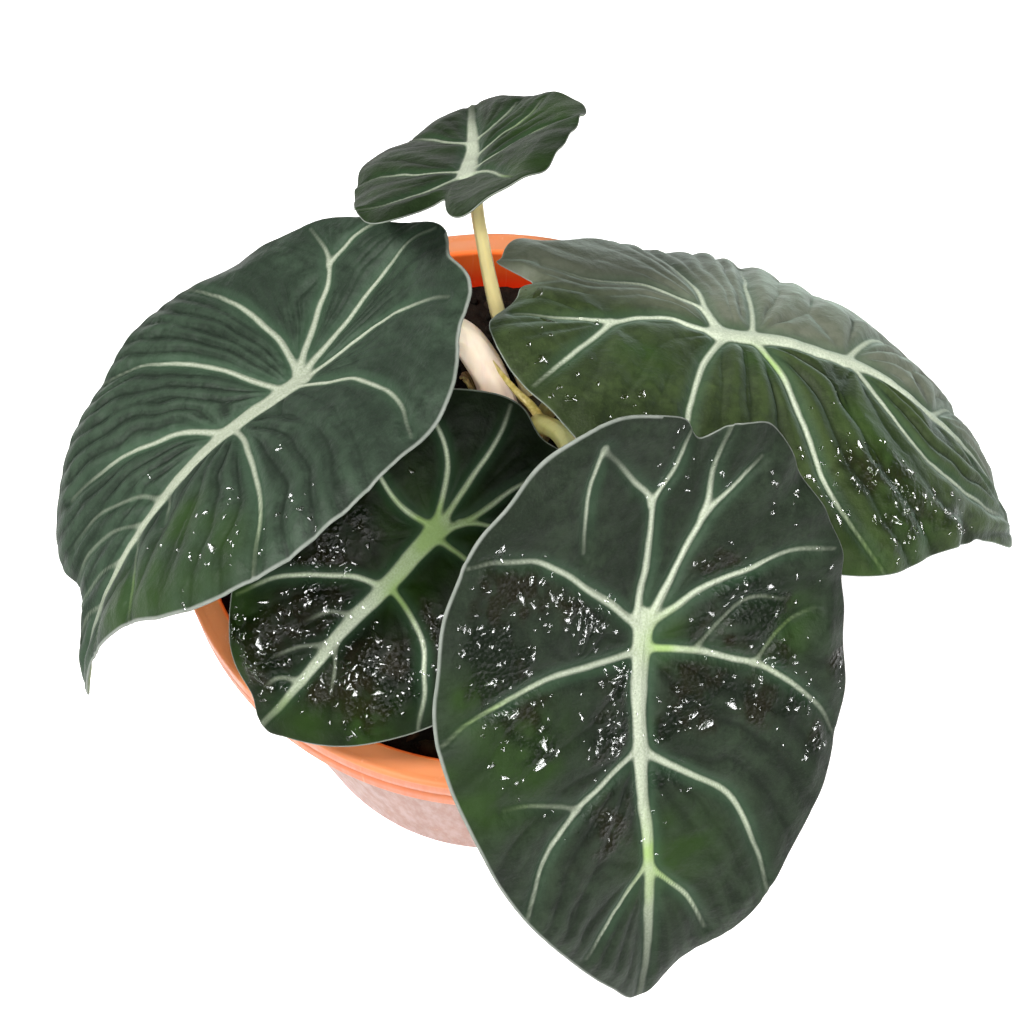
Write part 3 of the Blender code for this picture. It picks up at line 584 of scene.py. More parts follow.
def make_blade(name, look):
    """The blade as one closed thin shell: a fine disc of rings and spokes, upper face and under face."""
    leaf = LEAVES[name]
    even = np.arange(SPOKES) / SPOKES * 360.0 - 180.0
    bearings = even - 9.0 * np.sin(np.radians(2.0 * even))
    shares = 1 - (1 - np.arange(1, RINGS + 1) / RINGS) ** 1.3
    bearing, share = np.meshgrid(bearings, shares)
    reach = ring_reach(leaf, bearing, share)
    x = np.append(0.0, (reach * np.cos(np.radians(bearing))).ravel())
    y = np.append(0.0, (reach * np.sin(np.radians(bearing))).ravel())
    fields = blade_fields(name, x, y)
    relief = blade_relief(name, x, y, fields)
    middle = blade_points(leaf, x, y)
    normals = blade_normals(leaf, x, y)
    vein, edge = fields["vein"], fields["edge"]
    half = THICKNESS / 2 * np.sqrt(1 - (1 - np.clip(edge / EDGE_ROUNDING, 0, 1)) ** 2)
    ribs = 0.55 * np.clip(0.9 - np.abs(np.clip(vein, -0.9, 0.9)) - 0.2, 0, 1) + 0.5 * (vein < -0.9)
    upper = middle + normals * (relief + half)[:, None]
    under = middle + normals * (relief - half - ribs * smooth_step(edge, 0.5, 2.0))[:, None]
    column = np.arange(SPOKES)
    kept = np.arange(UNDER_STEP - 1, RINGS - 1, UNDER_STEP)
    kept = np.append(0, (1 + kept[:, None] * SPOKES + column).ravel())
    below, rows = len(upper), len(kept) // SPOKES
    last_under, last_upper = below + 1 + (rows - 1) * SPOKES, 1 + (RINGS - 1) * SPOKES
    after = (column + 1) % SPOKES
    faces = [*fan_faces(0, 1, SPOKES), *grid_faces(RINGS, SPOKES, 1, flip=True),
             *fan_faces(below, below + 1, SPOKES, flip=True), *grid_faces(rows, SPOKES, below + 1),
             *np.stack([last_under + column, last_under + after, last_upper + after, last_upper + column],
                       -1)]
    piece = add_piece(name + "_lamina", np.vstack([upper, under[kept]]), faces, look)
    for key in ("vein", "pale", "edge", "crest", "wet", "green", "painted_sheen"):
        set_attribute(piece.data, key, np.append(fields[key], fields[key][kept]))
    set_attribute(piece.data, "under", np.append(np.zeros(len(upper)), np.ones(len(kept))))
    set_attribute(piece.data, "side", np.append(y > 0, (y > 0)[kept]))
    flat = np.stack([x, y, np.full(x.shape, LEAF_SHIFT * list(LEAVES).index(name))], -1)
    set_attribute(piece.data, FLAT_VECTOR, np.vstack([flat, flat[kept]]))
    settle(piece, "leaf_blade", name + "_blade")


def drop_shape():
    """A dome over the unit circle, closed below."""
    points = [(0.0, 0.0, 1.0)]
    for ring in range(1, DROP_RINGS + 1):
        lean = math.pi / 2 * ring / DROP_RINGS
        for spoke in range(DROP_SPOKES):
            turn = 2 * math.pi * spoke / DROP_SPOKES
            points.append((math.sin(lean) * math.cos(turn), math.sin(lean) * math.sin(turn), math.cos(lean)))
    points.append((0.0, 0.0, -0.3))
    last = len(points) - 1
    faces = [*fan_faces(0, 1, DROP_SPOKES).tolist(),
             *grid_faces(DROP_RINGS, DROP_SPOKES, 1, flip=True).tolist(),
             *fan_faces(last, last - DROP_SPOKES, DROP_SPOKES, flip=True).tolist()]
    return np.array(points), faces


def make_drops(name, look, collection):
    """The water on one blade, as one piece of many small domes that follow the blade's relief."""
    leaf = LEAVES[name]
    rng = np.random.default_rng(700 + list(LEAVES).index(name))
    shape, shape_faces = drop_shape()
    flat, rise, faces = [], [], []
    for px, py, spread, count in SURFACE[name]["wet"]:
        for dx, dy in rng.normal(0.0, spread * 1.25, (int(count * SURFACE[name].get("soaked", 0.9)), 2)):
            film = rng.random() < 0.05
            size = 0.5 + 0.4 * rng.random() ** 2 if film else 0.15 + 0.32 * rng.random() ** 1.8
            longer = 1.0 + 1.8 * rng.random() ** 2
            turn, phase = rng.uniform(0, math.tau, 2)
            spin = np.array(((math.cos(turn), math.sin(turn)), (-math.sin(turn), math.cos(turn))))
            around = np.arctan2(shape[:, 1], shape[:, 0])
            wobble = 1 + 0.2 * np.sin(3 * around + phase) + 0.1 * np.sin(5 * around + 2 * phase)
            reach = margin_reach(leaf, math.degrees(math.atan2(py + dy, px + dx)))
            if math.hypot(px + dx, py + dy) > reach - 1.2 * size * longer:
                continue
            faces += [[corner + len(flat) * len(shape) for corner in face] for face in shape_faces]
            flat.append((shape[:, :2] * wobble[:, None] * (longer * size, size)) @ spin + (px + dx, py + dy))
            rise.append(shape[:, 2] * (0.18 if film else 0.42 * size))
    flat, rise = np.vstack(flat), np.concatenate(rise)
    fields = blade_fields(name, flat[:, 0], flat[:, 1])
    relief = blade_relief(name, flat[:, 0], flat[:, 1], fields)
    places = blade_points(leaf, flat[:, 0], flat[:, 1])
    normals = blade_normals(leaf, flat[:, 0], flat[:, 1])
    lift = relief + THICKNESS / 2 - 0.04 + rise
    piece = add_piece(name + "_drops", places + normals * lift[:, None], faces, look)
    for key in ("vein", "pale", "edge", "crest", "green", "painted_sheen"):
        set_attribute(piece.data, key, fields[key])
    set_attribute(piece.data, "wet", np.full(len(flat), 0.4))
    set_attribute(piece.data, "under", np.zeros(len(flat)))
    set_attribute(piece.data, "side", flat[:, 1] > 0)
    layer = np.full(len(flat), LEAF_SHIFT * list(LEAVES).index(name))
    set_attribute(piece.data, FLAT_VECTOR, np.column_stack([flat, layer]))
    collection.objects.link(piece)
    settle(piece, "leaf_blade")


def sweep(route, radii, steps, spokes, section):
    """Rings of points along a route: section(share, turn) multiplies the radius."""
    line = smooth_line(route, steps)
    widths = smooth_line([(r, 0.0) for r in radii], steps)[:, 0]
    ahead = np.gradient(line, axis=0)
    ahead /= np.linalg.norm(ahead, axis=1, keepdims=True)
    side = np.cross(ahead[0], (0.0, 1.0, 0.0))
    rings = []
    for number, (centre, direction, width) in enumerate(zip(line, ahead, widths)):
        side = side - direction * (side @ direction)
        side /= np.linalg.norm(side)
        up = np.cross(direction, side)
        turn = 2 * math.pi * np.arange(spokes) / spokes
        radius = width * section(number / (len(line) - 1), turn)
        rings.append(centre + (np.cos(turn) * radius)[:, None] * side + (np.sin(turn) * radius)[:, None] * up)
    return np.array(rings)


def tube(name, rings, look):
    """A closed tube through rings of points that knows how far along each point is."""
    count, spokes = rings.shape[:2]
    faces = [*grid_faces(count, spokes), list(range(spokes - 1, -1, -1)),
             list(range((count - 1) * spokes, count * spokes))]
    piece = add_piece(name, rings.reshape(-1, 3), faces, look)
    set_attribute(piece.data, "along", np.repeat(np.arange(count) / (count - 1), spokes))
    return piece


def make_petiole(name, look):
    """A petiole rooted in the crown, faintly ribbed, that widens into the blade's underside."""
    route, radii, end_radius, _, _ = PETIOLES[name]
    normal = blade_frame(LEAVES[name])[2]
    joint = np.array(LEAVES[name]["joint"])
    foot = np.array((*route[0], CROWN_TOP))
    down = foot - (np.array(route[1]) - foot) / np.linalg.norm(np.array(route[1]) - foot) * 3.5
    points = [down, foot, *route[1:], joint - normal * 4.0 * end_radius, joint - normal * 0.6]
    widths = [radii[0], *radii, end_radius, end_radius]
    seed = list(LEAVES).index(name)

    def section(share, turn):
        ribs = 0.03 * np.sin(7 * turn + seed) + 0.018 * np.sin(12 * turn + 3 * share)
        flare = 0.28 * math.exp(-share / 0.05) + 0.5 * math.exp(-(1 - share) / 0.03)
        return 1 + ribs + flare + 0.03 * math.sin(17 * share + seed)

    piece = tube(name + "_stalk", sweep(points, widths, 24, 32, section), look)
    settle(piece, "pale_stalk" if name == "leaf_left" else "petiole", name + "_petiole")


def strip_piece(name, rows, thickness, look):
    """A thin closed sheet from a grid of points, thickened along its own normals."""
    rows = np.array(rows)
    count, width = rows.shape[:2]
    along = np.gradient(rows, axis=0)
    across = np.gradient(rows, axis=1)
    normals = np.cross(along, across)
    normals /= np.linalg.norm(normals, axis=-1, keepdims=True)
    front = (rows + normals * thickness / 2).reshape(-1, 3)
    back = (rows - normals * thickness / 2).reshape(-1, 3)
    size = count * width
    faces = [*grid_faces(count, width, closed=False),
             *grid_faces(count, width, size, flip=True, closed=False)]
    rim = [(0, c) for c in range(width)] + [(r, width - 1) for r in range(1, count)]
    rim += [(count - 1, c) for c in range(width - 2, -1, -1)] + [(r, 0) for r in range(count - 2, 0, -1)]
    rim = [r * width + c for r, c in rim]
    faces += [(b, a, a + size, b + size) for a, b in zip(rim, rim[1:] + rim[:1])]
    return add_piece(name, np.vstack([front, back]), faces, look)


def make_cataphyll(look):
    """The short dry scale leaf that clasps the foot of the thickest petiole on its outer side."""
    route, radii, *_ = PETIOLES["leaf_left"]
    foot = np.array((*route[0], CROWN_TOP))
    above = np.array(route[1])
    rows = []
    for rise in np.linspace(0, 1, 30):
        half_angle = math.radians(95.0 * (1.0 - rise ** 2.2) + 3.0)
        centre = foot + (above - foot) * (0.02 + 0.98 * rise)
        turns = math.radians(215.0) + half_angle * np.linspace(-1, 1, 34)
        curl = 0.8 * np.abs(np.linspace(-1, 1, 34)) ** 4 + 0.6 * rise ** 2
        radius = radii[0] + 0.45 + curl + 0.12 * np.sin(5 * turns + 9 * rise) + 0.1 * np.sin(19 * turns)
        rows.append(centre + np.stack([np.cos(turns) * radius, np.sin(turns) * radius,
                                       0.3 * np.sin(7 * turns)], -1))
    settle(strip_piece("cataphyll_husk", rows, 0.35, look), "dry_sheath", "cataphyll")


def make_sheath(look):
    """The narrow yellow edge of an old sheath, from the pale stalk down to the next one, which it clasps."""
    route = [(-1.4, 20.6, 96.0), (1.2, 20.4, 90.0), (3.8, 19.0, 86.5), (6.6, 16.8, 84.8), (8.4, 13.8, 85.0),
             (9.0, 11.4, 86.8)]
    radii = (0.2, 0.45, 0.65, 0.85, 1.0, 1.3)
    rings = sweep(route, radii, 16, 24, lambda share, turn: 1 + 0.10 * np.sin(3 * turn + 5 * share))
    settle(tube("leaf_left_sheath", rings, look), "pale_stalk")


def wall_radius(height):
    return BASE_RADIUS + (WALL_TOP_RADIUS - BASE_RADIUS) * height / WALL_TOP


def inner_radius(height):
    return min(wall_radius(height) - WALL, MOUTH_RADIUS)


def arc(radius, height, size, start, end, steps=6):
    """Profile points round a corner: a centre, a size and two angles in degrees."""
    return [(radius + size * math.cos(math.radians(a)), height + size * math.sin(math.radians(a)))
            for a in np.linspace(start, end, steps)]


def pot_profile():
    """The pot's section from the middle of its floor, up the inside, over the rim and down the outside."""
    under = POT_HEIGHT - 1.6
    inside = [(inner_radius(h), h) for h in np.linspace(FLOOR + 1.6, WALL_TOP, 24)]
    inside += [(MOUTH_RADIUS, h) for h in np.linspace(WALL_TOP + 1, POT_HEIGHT - 1.1, 6)]
    step = [(RIM_RADIUS - 0.12, 79.3), (RIM_RADIUS - 0.15, 78.0), (RIM_RADIUS - 0.55, 77.5),
            (RIM_RADIUS - 0.6, 77.1), (RIM_RADIUS - 0.3, 76.7), (RIM_RADIUS - 0.3, 75.0),
            (RIM_RADIUS - 0.35, WALL_TOP + 0.7)]
    outside = [(wall_radius(h), h) for h in np.linspace(WALL_TOP, 2.2, 30)]
    return ([(0.0, FLOOR), (15.0, FLOOR), (30.0, FLOOR)]
            + arc(inner_radius(FLOOR) - 1.6, FLOOR + 1.5, 1.5, -90, 0) + inside
            + arc(MOUTH_RADIUS + 0.9, POT_HEIGHT - 0.9, 0.9, 180, 90)
            + [(MOUTH_RADIUS + 2.2, POT_HEIGHT - 0.05), (RIM_RADIUS - 1.9, POT_HEIGHT - 0.3),
               (RIM_RADIUS - 1.5, POT_HEIGHT - 0.22)]
            + arc(RIM_RADIUS - 0.9, POT_HEIGHT - 0.9, 0.9, 80, 0) + step
            + arc(RIM_RADIUS - 0.75, WALL_TOP + 0.4, 0.4, 0, -180) + [(RIM_RADIUS - 1.3, under - 0.8)]
            + arc(RIM_RADIUS - 1.8, under - 0.5, 0.5, 0, 90, 4)
            + arc(WALL_TOP_RADIUS + 0.6, under - 0.5, 0.5, 90, 180, 4)
            + outside + arc(BASE_RADIUS - 1.2, 1.2, 1.2, 0, -90) + [(38.0, 0.0), (20.0, 0.0), (0.0, 0.0)])


def stacked(rings, first, last):
    """The points and faces of a solid made of rings of points, closed by one point at each end."""
    rows, spokes = rings.shape[:2]
    count = rows * spokes
    faces = [*grid_faces(rows, spokes), *fan_faces(count, 0, spokes),
             *fan_faces(count + 1, count - spokes, spokes, flip=True)]
    return np.vstack([rings.reshape(-1, 3), [first, last]]), faces


def spun(profile, spokes):
    """The points and faces of a turned solid whose profile starts and ends on the axis."""
    body = np.array(profile[1:-1])
    turn = 2 * math.pi * np.arange(spokes) / spokes
    rings = np.stack([body[:, :1] * np.cos(turn), body[:, :1] * np.sin(turn),
                      np.repeat(body[:, 1:], spokes, axis=1)], -1)
    return stacked(rings, (0, 0, profile[0][1]), (0, 0, profile[-1][1]))


def turned_outward(mesh):
    shape = bmesh.new()
    shape.from_mesh(mesh)
    bmesh.ops.recalc_face_normals(shape, faces=shape.faces)
    shape.to_mesh(mesh)
    shape.free()


def add_drill(turn):
    """A rod through the pot's floor where a drainage hole goes."""
    shape = bmesh.new()
    radius = DRAIN_HOLE_RADIUS * MM
    bmesh.ops.create_cone(shape, cap_ends=True, segments=40, radius1=radius, radius2=radius, depth=10 * MM)
    mesh = bpy.data.meshes.new("drill")
    shape.to_mesh(mesh)
    shape.free()
    drill = bpy.data.objects.new("drill", mesh)
    ring = DRAIN_RING_RADIUS * MM
    drill.location = (ring * math.cos(turn), ring * math.sin(turn), MM)
    bpy.context.scene.collection.objects.link(drill)
    return drill


def make_pot(look):
    raw = add_piece("pot_raw", *spun(pot_profile(), 220), look)
    turned_outward(raw.data)
    drills = [add_drill(2 * math.pi * (number + 0.5) / DRAIN_HOLES) for number in range(DRAIN_HOLES)]
    for drill in drills:
        cut = raw.modifiers.new("hole", "BOOLEAN")
        cut.object = drill
        cut.solver = "EXACT"
    graph = bpy.context.evaluated_depsgraph_get()
    mesh = bpy.data.meshes.new_from_object(raw.evaluated_get(graph))
    for item in [raw, *drills]:
        bpy.data.objects.remove(item, do_unlink=True)
    mesh.name = "pot_shell"
    mesh.shade_smooth()
    mesh.set_sharp_from_angle(angle=math.radians(50))
    piece = bpy.data.objects.new("pot_shell", mesh)
    bpy.context.scene.collection.objects.link(piece)
    settle(piece, "pot_plastic", "pot")


def soil_height(x, y):
    """The soil's surface, in millimetres: low mounds with crumbs and hollows."""
    rise = 0.9 * np.sin(0.11 * x + 0.6) * np.cos(0.13 * y - 0.3) + 0.5 * np.sin(0.23 * x - 0.17 * y)
    rise = rise + 1.6 * np.exp(-((x - CROWN[0]) ** 2 + (y - CROWN[1]) ** 2) / 300.0)
    for size, height, seed in ((7.0, 0.7, 21), (3.2, 0.6, 22), (1.5, 0.4, 23), (0.8, 0.2, 24)):
        rise = rise + height * lattice_noise(x, y, size, seed)
    return SOIL_LEVEL + rise


def make_soil(look):
    rings, spokes = 130, 300
    edge = inner_radius(SOIL_LEVEL) - 0.2
    turn = 2 * math.pi * np.arange(spokes) / spokes
    radius = edge * (np.arange(1, rings + 1) / rings) ** 0.8
    x, y = radius[:, None] * np.cos(turn), radius[:, None] * np.sin(turn)
    dip = 0.8 * smooth_step(radius[:, None] + 0 * x, edge - 1.5, edge)
    top = np.stack([x, y, soil_height(x, y) - dip], -1)
    bottom = FLOOR + 0.3
    sides = []
    for height in (66.0, 50.0, 30.0, 12.0, 4.0, bottom):
        wide = inner_radius(height) - (0.4 if height > 3 else 2.2)
        sides.append(np.stack([wide * np.cos(turn), wide * np.sin(turn), np.full(spokes, height)], -1))
    middle = (0, 0, float(soil_height(np.array(0.0), np.array(0.0))))
    points, faces = stacked(np.concatenate([top, np.array(sides)]), middle, (0, 0, bottom))
    piece = add_piece("soil_bed", points, faces, look)
    turned_outward(piece.data)
    settle(piece, "potting_mix", "soil")


def lump(rng, detail):
    """An uneven pebble of about unit radius."""
    shape = bmesh.new()
    bmesh.ops.create_icosphere(shape, subdivisions=detail, radius=1.0)
    points = np.array([v.co[:] for v in shape.verts])
    faces = [[v.index for v in f.verts] for f in shape.faces]
    shape.free()
    phase = rng.uniform(0, 6, 3)
    points = points * (1 + 0.22 * np.sin(3.1 * points @ rng.normal(0, 1, (3, 1)) + phase[0])
                       + 0.12 * np.sin(7 * points @ rng.normal(0, 1, (3, 1)) + phase[1]))
    return points, faces


def scatter(name, count, sizes, flatness, detail, seed, look, sink):
    """Many loose pieces lying on the soil, as one mesh with a tint for each."""
    rng = np.random.default_rng(seed)
    kinds = [lump(rng, detail) for _ in range(8)]
    points, faces, tints = [], [], []
    start = 0
    while len(points) < count:
        radius = 52.5 * math.sqrt(rng.random())
        turn = rng.uniform(0, math.tau)
        x, y = radius * math.cos(turn), radius * math.sin(turn)
        size = sizes[0] + (sizes[1] - sizes[0]) * rng.random() ** 2.5
        if math.hypot(x - CROWN[0], y - CROWN[1]) < 8.5 + size or radius + size > 54:
            continue
        shape, shape_faces = kinds[rng.integers(len(kinds))]
        scale = np.array((rng.uniform(0.8, 1.5), rng.uniform(0.6, 1.0), flatness * rng.uniform(0.7, 1.2)))
        scale = scale * size
        spin = np.array((Matrix.Rotation(rng.uniform(0, math.tau), 3, "Z")
                         @ Matrix.Rotation(rng.uniform(-0.5, 0.5), 3, "X")).to_3x3())
        height = float(soil_height(np.array(x), np.array(y))) + size * flatness * sink
        points.append((shape * scale) @ spin.T + (x, y, height))
        faces += [[corner + start for corner in face] for face in shape_faces]
        start += len(shape)
        tints += [rng.random()] * len(shape)
    piece = add_piece(name, np.vstack(points), faces, look)
    set_attribute(piece.data, "tint", tints)
    settle(piece, "potting_mix")


def make_rhizome(look):
    """The stubby crown, ringed with old leaf scars."""
    heights = np.linspace(CROWN_FOOT, CROWN_TOP - 0.3, 90)
    spokes = 72
    turn = 2 * math.pi * np.arange(spokes) / spokes
    rings = []
    for height in heights:
        scar = 0.55 * abs(math.sin(math.pi * (height - 50) / 3.2)) ** 0.6
        dome = 1 - max(0.0, (height - CROWN_TOP + 2.3) / 2.6) ** 2 * 0.45
        foot = min(1.0, 0.45 + (height - CROWN_FOOT) / 6.0)
        rough = 0.35 * lattice_noise(turn * 9, np.full(spokes, height), 2.5, 31)
        radius = (CROWN_RADIUS - 0.9 + scar + rough) * dome * foot
        rings.append(np.stack([CROWN[0] + np.cos(turn) * radius, CROWN[1] + np.sin(turn) * radius,
                               height + 0.3 * np.sin(3 * turn + height)], -1))
    points, faces = stacked(np.array(rings), (*CROWN, CROWN_FOOT), (*CROWN, CROWN_TOP))
    piece = add_piece("rhizome_crown", points, faces, look)
    turned_outward(piece.data)
    settle(piece, "rhizome_skin", "rhizome")


# ---------------------------------------------------------------- materials

class Look:
    """A material and its nodes, with short ways to add the usual ones."""

    def __init__(self, name):
        self.material = bpy.data.materials.new(name)
        self.material.use_nodes = True
        self.tree = self.material.node_tree
        self.shader = self.tree.nodes["Principled BSDF"]

    def set(self, **values):
        for name, value in values.items():
            socket = self.shader.inputs[name.replace("_", " ")]
            if isinstance(value, bpy.types.NodeSocket):
                self.tree.links.new(value, socket)
            elif isinstance(value, tuple):
                socket.default_value = (*value, 1.0)[: len(socket.default_value)]
            else:
                socket.default_value = value

    def put(self, socket, value):
        if isinstance(value, bpy.types.NodeSocket):
            self.tree.links.new(value, socket)
        elif isinstance(value, tuple) and len(socket.default_value) == 4:
            socket.default_value = (*value, 1.0)
        else:
            socket.default_value = value

    def attribute(self, name, output="Fac"):
        node = self.tree.nodes.new("ShaderNodeAttribute")
        node.attribute_name = name
        return node.outputs[output]

    def place(self):
        return self.tree.nodes.new("ShaderNodeTexCoord").outputs["Object"]

    def noise(self, where, scale, detail=3.0, roughness=0.55):
        node = self.tree.nodes.new("ShaderNodeTexNoise")
        self.put(node.inputs["Vector"], where)
        for key, value in (("Scale", scale), ("Detail", detail), ("Roughness", roughness)):
            node.inputs[key].default_value = value
        return node.outputs["Fac"]

    def streaks(self, where, scale, detail=3.0, roughness=0.55):
        """Noise with its own scale along each axis."""
        node = self.tree.nodes.new("ShaderNodeMapping")
        self.put(node.inputs["Vector"], where)
        node.inputs["Scale"].default_value = scale
        return self.noise(node.outputs["Vector"], 1.0, detail, roughness)

    def cells(self, where, scale):
        node = self.tree.nodes.new("ShaderNodeTexVoronoi")
        self.put(node.inputs["Vector"], where)
        node.inputs["Scale"].default_value = scale
        return node.outputs["Distance"]

    def maths(self, operation, a, b=0.0):
        node = self.tree.nodes.new("ShaderNodeMath")
        node.operation = operation
        self.put(node.inputs[0], a)
        self.put(node.inputs[1], b)
        return node.outputs[0]

    def spread(self, value, low, high, start=0.0, end=1.0):
        """Carries a value from low..high to start..end, smoothly and clamped."""
        node = self.tree.nodes.new("ShaderNodeMapRange")
        node.interpolation_type = "SMOOTHSTEP"
        keys = ("Value", "From Min", "From Max", "To Min", "To Max")
        for key, amount in zip(keys, (value, low, high, start, end)):
            self.put(node.inputs[key], amount)
        return node.outputs["Result"]

    def mix(self, share, a, b, kind="MIX"):
        node = self.tree.nodes.new("ShaderNodeMix")
        node.data_type = "RGBA"
        node.blend_type = kind
        self.put(node.inputs[0], share)
        self.put(node.inputs[6], a)
        self.put(node.inputs[7], b)
        return node.outputs[2]

    def bump(self, height, strength, distance, normal=None):
        node = self.tree.nodes.new("ShaderNodeBump")
        node.inputs["Strength"].default_value = strength
        node.inputs["Distance"].default_value = distance
        self.put(node.inputs["Height"], height)
        if normal:
            self.put(node.inputs["Normal"], normal)
        return node.outputs["Normal"]


def scaled(colour, factor):
    return tuple(part * factor for part in colour)


def blade_look(name, wet_piece=False):
    """Dark velvet with pale veins, greener and wet patches, a pale margin and a paler underside; painted shade
    in the ridges' valleys, a painted highlight on their crests, and on some leaves a painted sheen that greys
    the left half.
    """
    surface = SURFACE[name]
    tone = surface["tone"]
    ridge_shading = min(0.85, 0.15 + 0.7 * surface["ridges"][1])
    look = Look(name + ("_water" if wet_piece else "_velvet"))
    flat = look.attribute(FLAT_VECTOR, "Vector")
    vein, edge = look.attribute("vein"), look.attribute("edge")
    wet, green, crest = look.attribute("wet"), look.attribute("green"), look.attribute("crest")
    pale = look.attribute("pale")
    broad = look.noise(flat, 0.09, 3.0)
    mottle = look.noise(flat, 0.45, 4.0, 0.6)
    grain = look.noise(flat, 2.6, 3.0, 0.6)
    blade = look.mix(look.spread(broad, 0.35, 0.65), scaled(tone, 0.72), scaled(tone, 1.35))
    blade = look.mix(look.spread(mottle, 0.35, 0.7), blade, scaled(tone, 0.6))
    blade = look.mix(look.spread(grain, 0.45, 0.8, 0.0, 0.4), blade, scaled(tone, 1.9))
    # Painted shade darkens the valleys between the ridges, and a painted highlight lightens their crests.
    blade = look.mix(look.spread(crest, 0.5, 0.05, 0.0, ridge_shading), blade, scaled(tone, 0.36))
    blade = look.mix(look.spread(crest, 0.7, 1.0, 0.0, 0.5 * ridge_shading), blade, scaled(tone, 1.9))
    # Painted sheen: the left half greyed, as velvet looks from a grazing view.
    painted_sheen = look.maths("MULTIPLY", look.attribute("painted_sheen"), look.spread(mottle, 0.25, 0.75, 1.1, 0.7))
    blade = look.mix(painted_sheen, blade, (0.140, 0.150, 0.112))
    blade = look.mix(look.maths("MULTIPLY", green, 0.6), blade, (0.020, 0.050, 0.005))
    soaked = look.mix(look.spread(broad, 0.42, 0.56), scaled(tone, 0.32), (0.011, 0.008, 0.004))
    blade = look.mix(look.maths("MULTIPLY", wet, 0.75), blade, soaked)
    halo = look.maths("MULTIPLY", look.spread(vein, 2.4, 0.0, 0.0, 0.55), pale)
    blade = look.mix(halo, blade, (0.045, 0.090, 0.050))
    wandering = look.maths("ADD", vein, look.maths("MULTIPLY", look.maths("SUBTRACT", mottle, 0.5), 0.15))
    # shine lightens or darkens the veins; on the inner leaf it is painted light, lifting veins that lie in
    # shade.
    shine = surface.get("shine", 1.0)
    vein_colour = look.mix(look.spread(grain, 0.3, 0.7), scaled((0.35, 0.40, 0.29), shine),
                           scaled((0.50, 0.54, 0.43), shine))
    vein_colour = look.mix(look.maths("MULTIPLY", green, 0.8), vein_colour, (0.30, 0.46, 0.12))
    blade = look.mix(look.maths("MULTIPLY", look.spread(wandering, 0.40, -0.20), pale), blade, vein_colour)
    limb = look.mix(look.attribute("side"), (surface["margin"][1],) * 3, (surface["margin"][0],) * 3)
    margin = look.spread(look.maths("DIVIDE", edge, limb), 1.3, 0.4)
    blade = look.mix(margin, blade, look.mix(mottle, (0.12, 0.145, 0.115), (0.27, 0.285, 0.26)))
    back = look.mix(look.spread(mottle, 0.3, 0.7), (0.20, 0.28, 0.17), (0.27, 0.35, 0.22))
    back = look.mix(look.spread(vein, 0.5, -0.1), back, (0.50, 0.56, 0.36))
    look.set(Base_Color=look.mix(look.attribute("under"), blade, back))
    dry = look.spread(grain, 0.2, 0.8, 0.42, 0.58)
    rough = look.maths("MULTIPLY", dry, look.spread(wet, 0.15, 0.9, 1.0, 0.30))
    if wet_piece:
        look.set(Roughness=0.06, Specular_IOR_Level=0.35, IOR=1.33, Normal=look.bump(grain, 0.35, 0.0003))
        return look.material
    look.set(Roughness=rough, Specular_IOR_Level=surface.get("gloss", 0.12),
             Sheen_Weight=surface.get("sheen", 0.02), Sheen_Roughness=0.45, Sheen_Tint=(0.62, 0.86, 0.72))
    fine = look.noise(flat, 6.0, 2.0, 0.6)
    lens = look.cells(flat, 1.15)
    normal = look.bump(fine, 0.25, 0.00012)
    normal = look.bump(mottle, 0.5, 0.0006, normal)
    normal = look.bump(look.maths("MULTIPLY", lens, wet), 0.5, 0.0004, normal)
    look.set(Normal=normal)
    return look.material


def stalk_look(name, foot, top):
    """Smooth stalk skin with fine streaks along it."""
    look = Look(name + "_skin")
    where = look.place()
    along = look.attribute("along")
    streak = look.streaks(where, (900.0, 900.0, 90.0))
    blotch = look.noise(where, 160.0, 3.0)
    colour = look.mix(look.spread(along, 0.05, 0.75), foot, top)
    colour = look.mix(look.spread(streak, 0.45, 0.75, 0.0, 0.35), colour, scaled(foot, 0.75))
    colour = look.mix(look.spread(blotch, 0.5, 0.75, 0.0, 0.3), colour, scaled(top, 1.12))
    look.set(Base_Color=colour, Roughness=look.spread(blotch, 0.3, 0.7, 0.28, 0.42),
             Subsurface_Weight=0.15, Subsurface_Radius=(0.003, 0.002, 0.001), Subsurface_Scale=0.5,
             Normal=look.bump(streak, 0.35, 0.0002))
    return look.material


def husk_look():
    """Brown, fibrous dead skin."""
    look = Look("husk")
    where = look.place()
    fibre = look.streaks(where, (1600.0, 1600.0, 120.0), 4.0)
    blotch = look.noise(where, 260.0, 3.0)
    colour = look.mix(look.spread(fibre, 0.3, 0.7), (0.16, 0.10, 0.03), (0.42, 0.32, 0.12))
    colour = look.mix(look.spread(blotch, 0.5, 0.7, 0.0, 0.6), colour, (0.09, 0.055, 0.02))
    look.set(Base_Color=colour, Roughness=0.6, Normal=look.bump(fibre, 0.6, 0.0003))
    return look.material


def sheath_look():
    look = Look("sheath_membrane")
    fibre = look.streaks(look.place(), (1500.0, 1500.0, 80.0))
    colour = look.mix(look.spread(fibre, 0.3, 0.7), (0.50, 0.39, 0.08), (0.72, 0.60, 0.24))
    look.set(Base_Color=colour, Roughness=0.35, Transmission_Weight=0.25,
             Normal=look.bump(fibre, 0.2, 0.0001))
    return look.material


def rhizome_look():
    look = Look("rhizome_bark")
    where = look.place()
    ring = look.streaks(where, (60.0, 60.0, 900.0))
    blotch = look.noise(where, 220.0, 4.0)
    colour = look.mix(look.spread(ring, 0.35, 0.65), (0.06, 0.04, 0.02), (0.20, 0.13, 0.06))
    colour = look.mix(look.spread(blotch, 0.45, 0.7, 0.0, 0.6), colour, (0.16, 0.17, 0.06))
    look.set(Base_Color=colour, Roughness=0.75, Normal=look.bump(ring, 0.7, 0.0005))
    return look.material


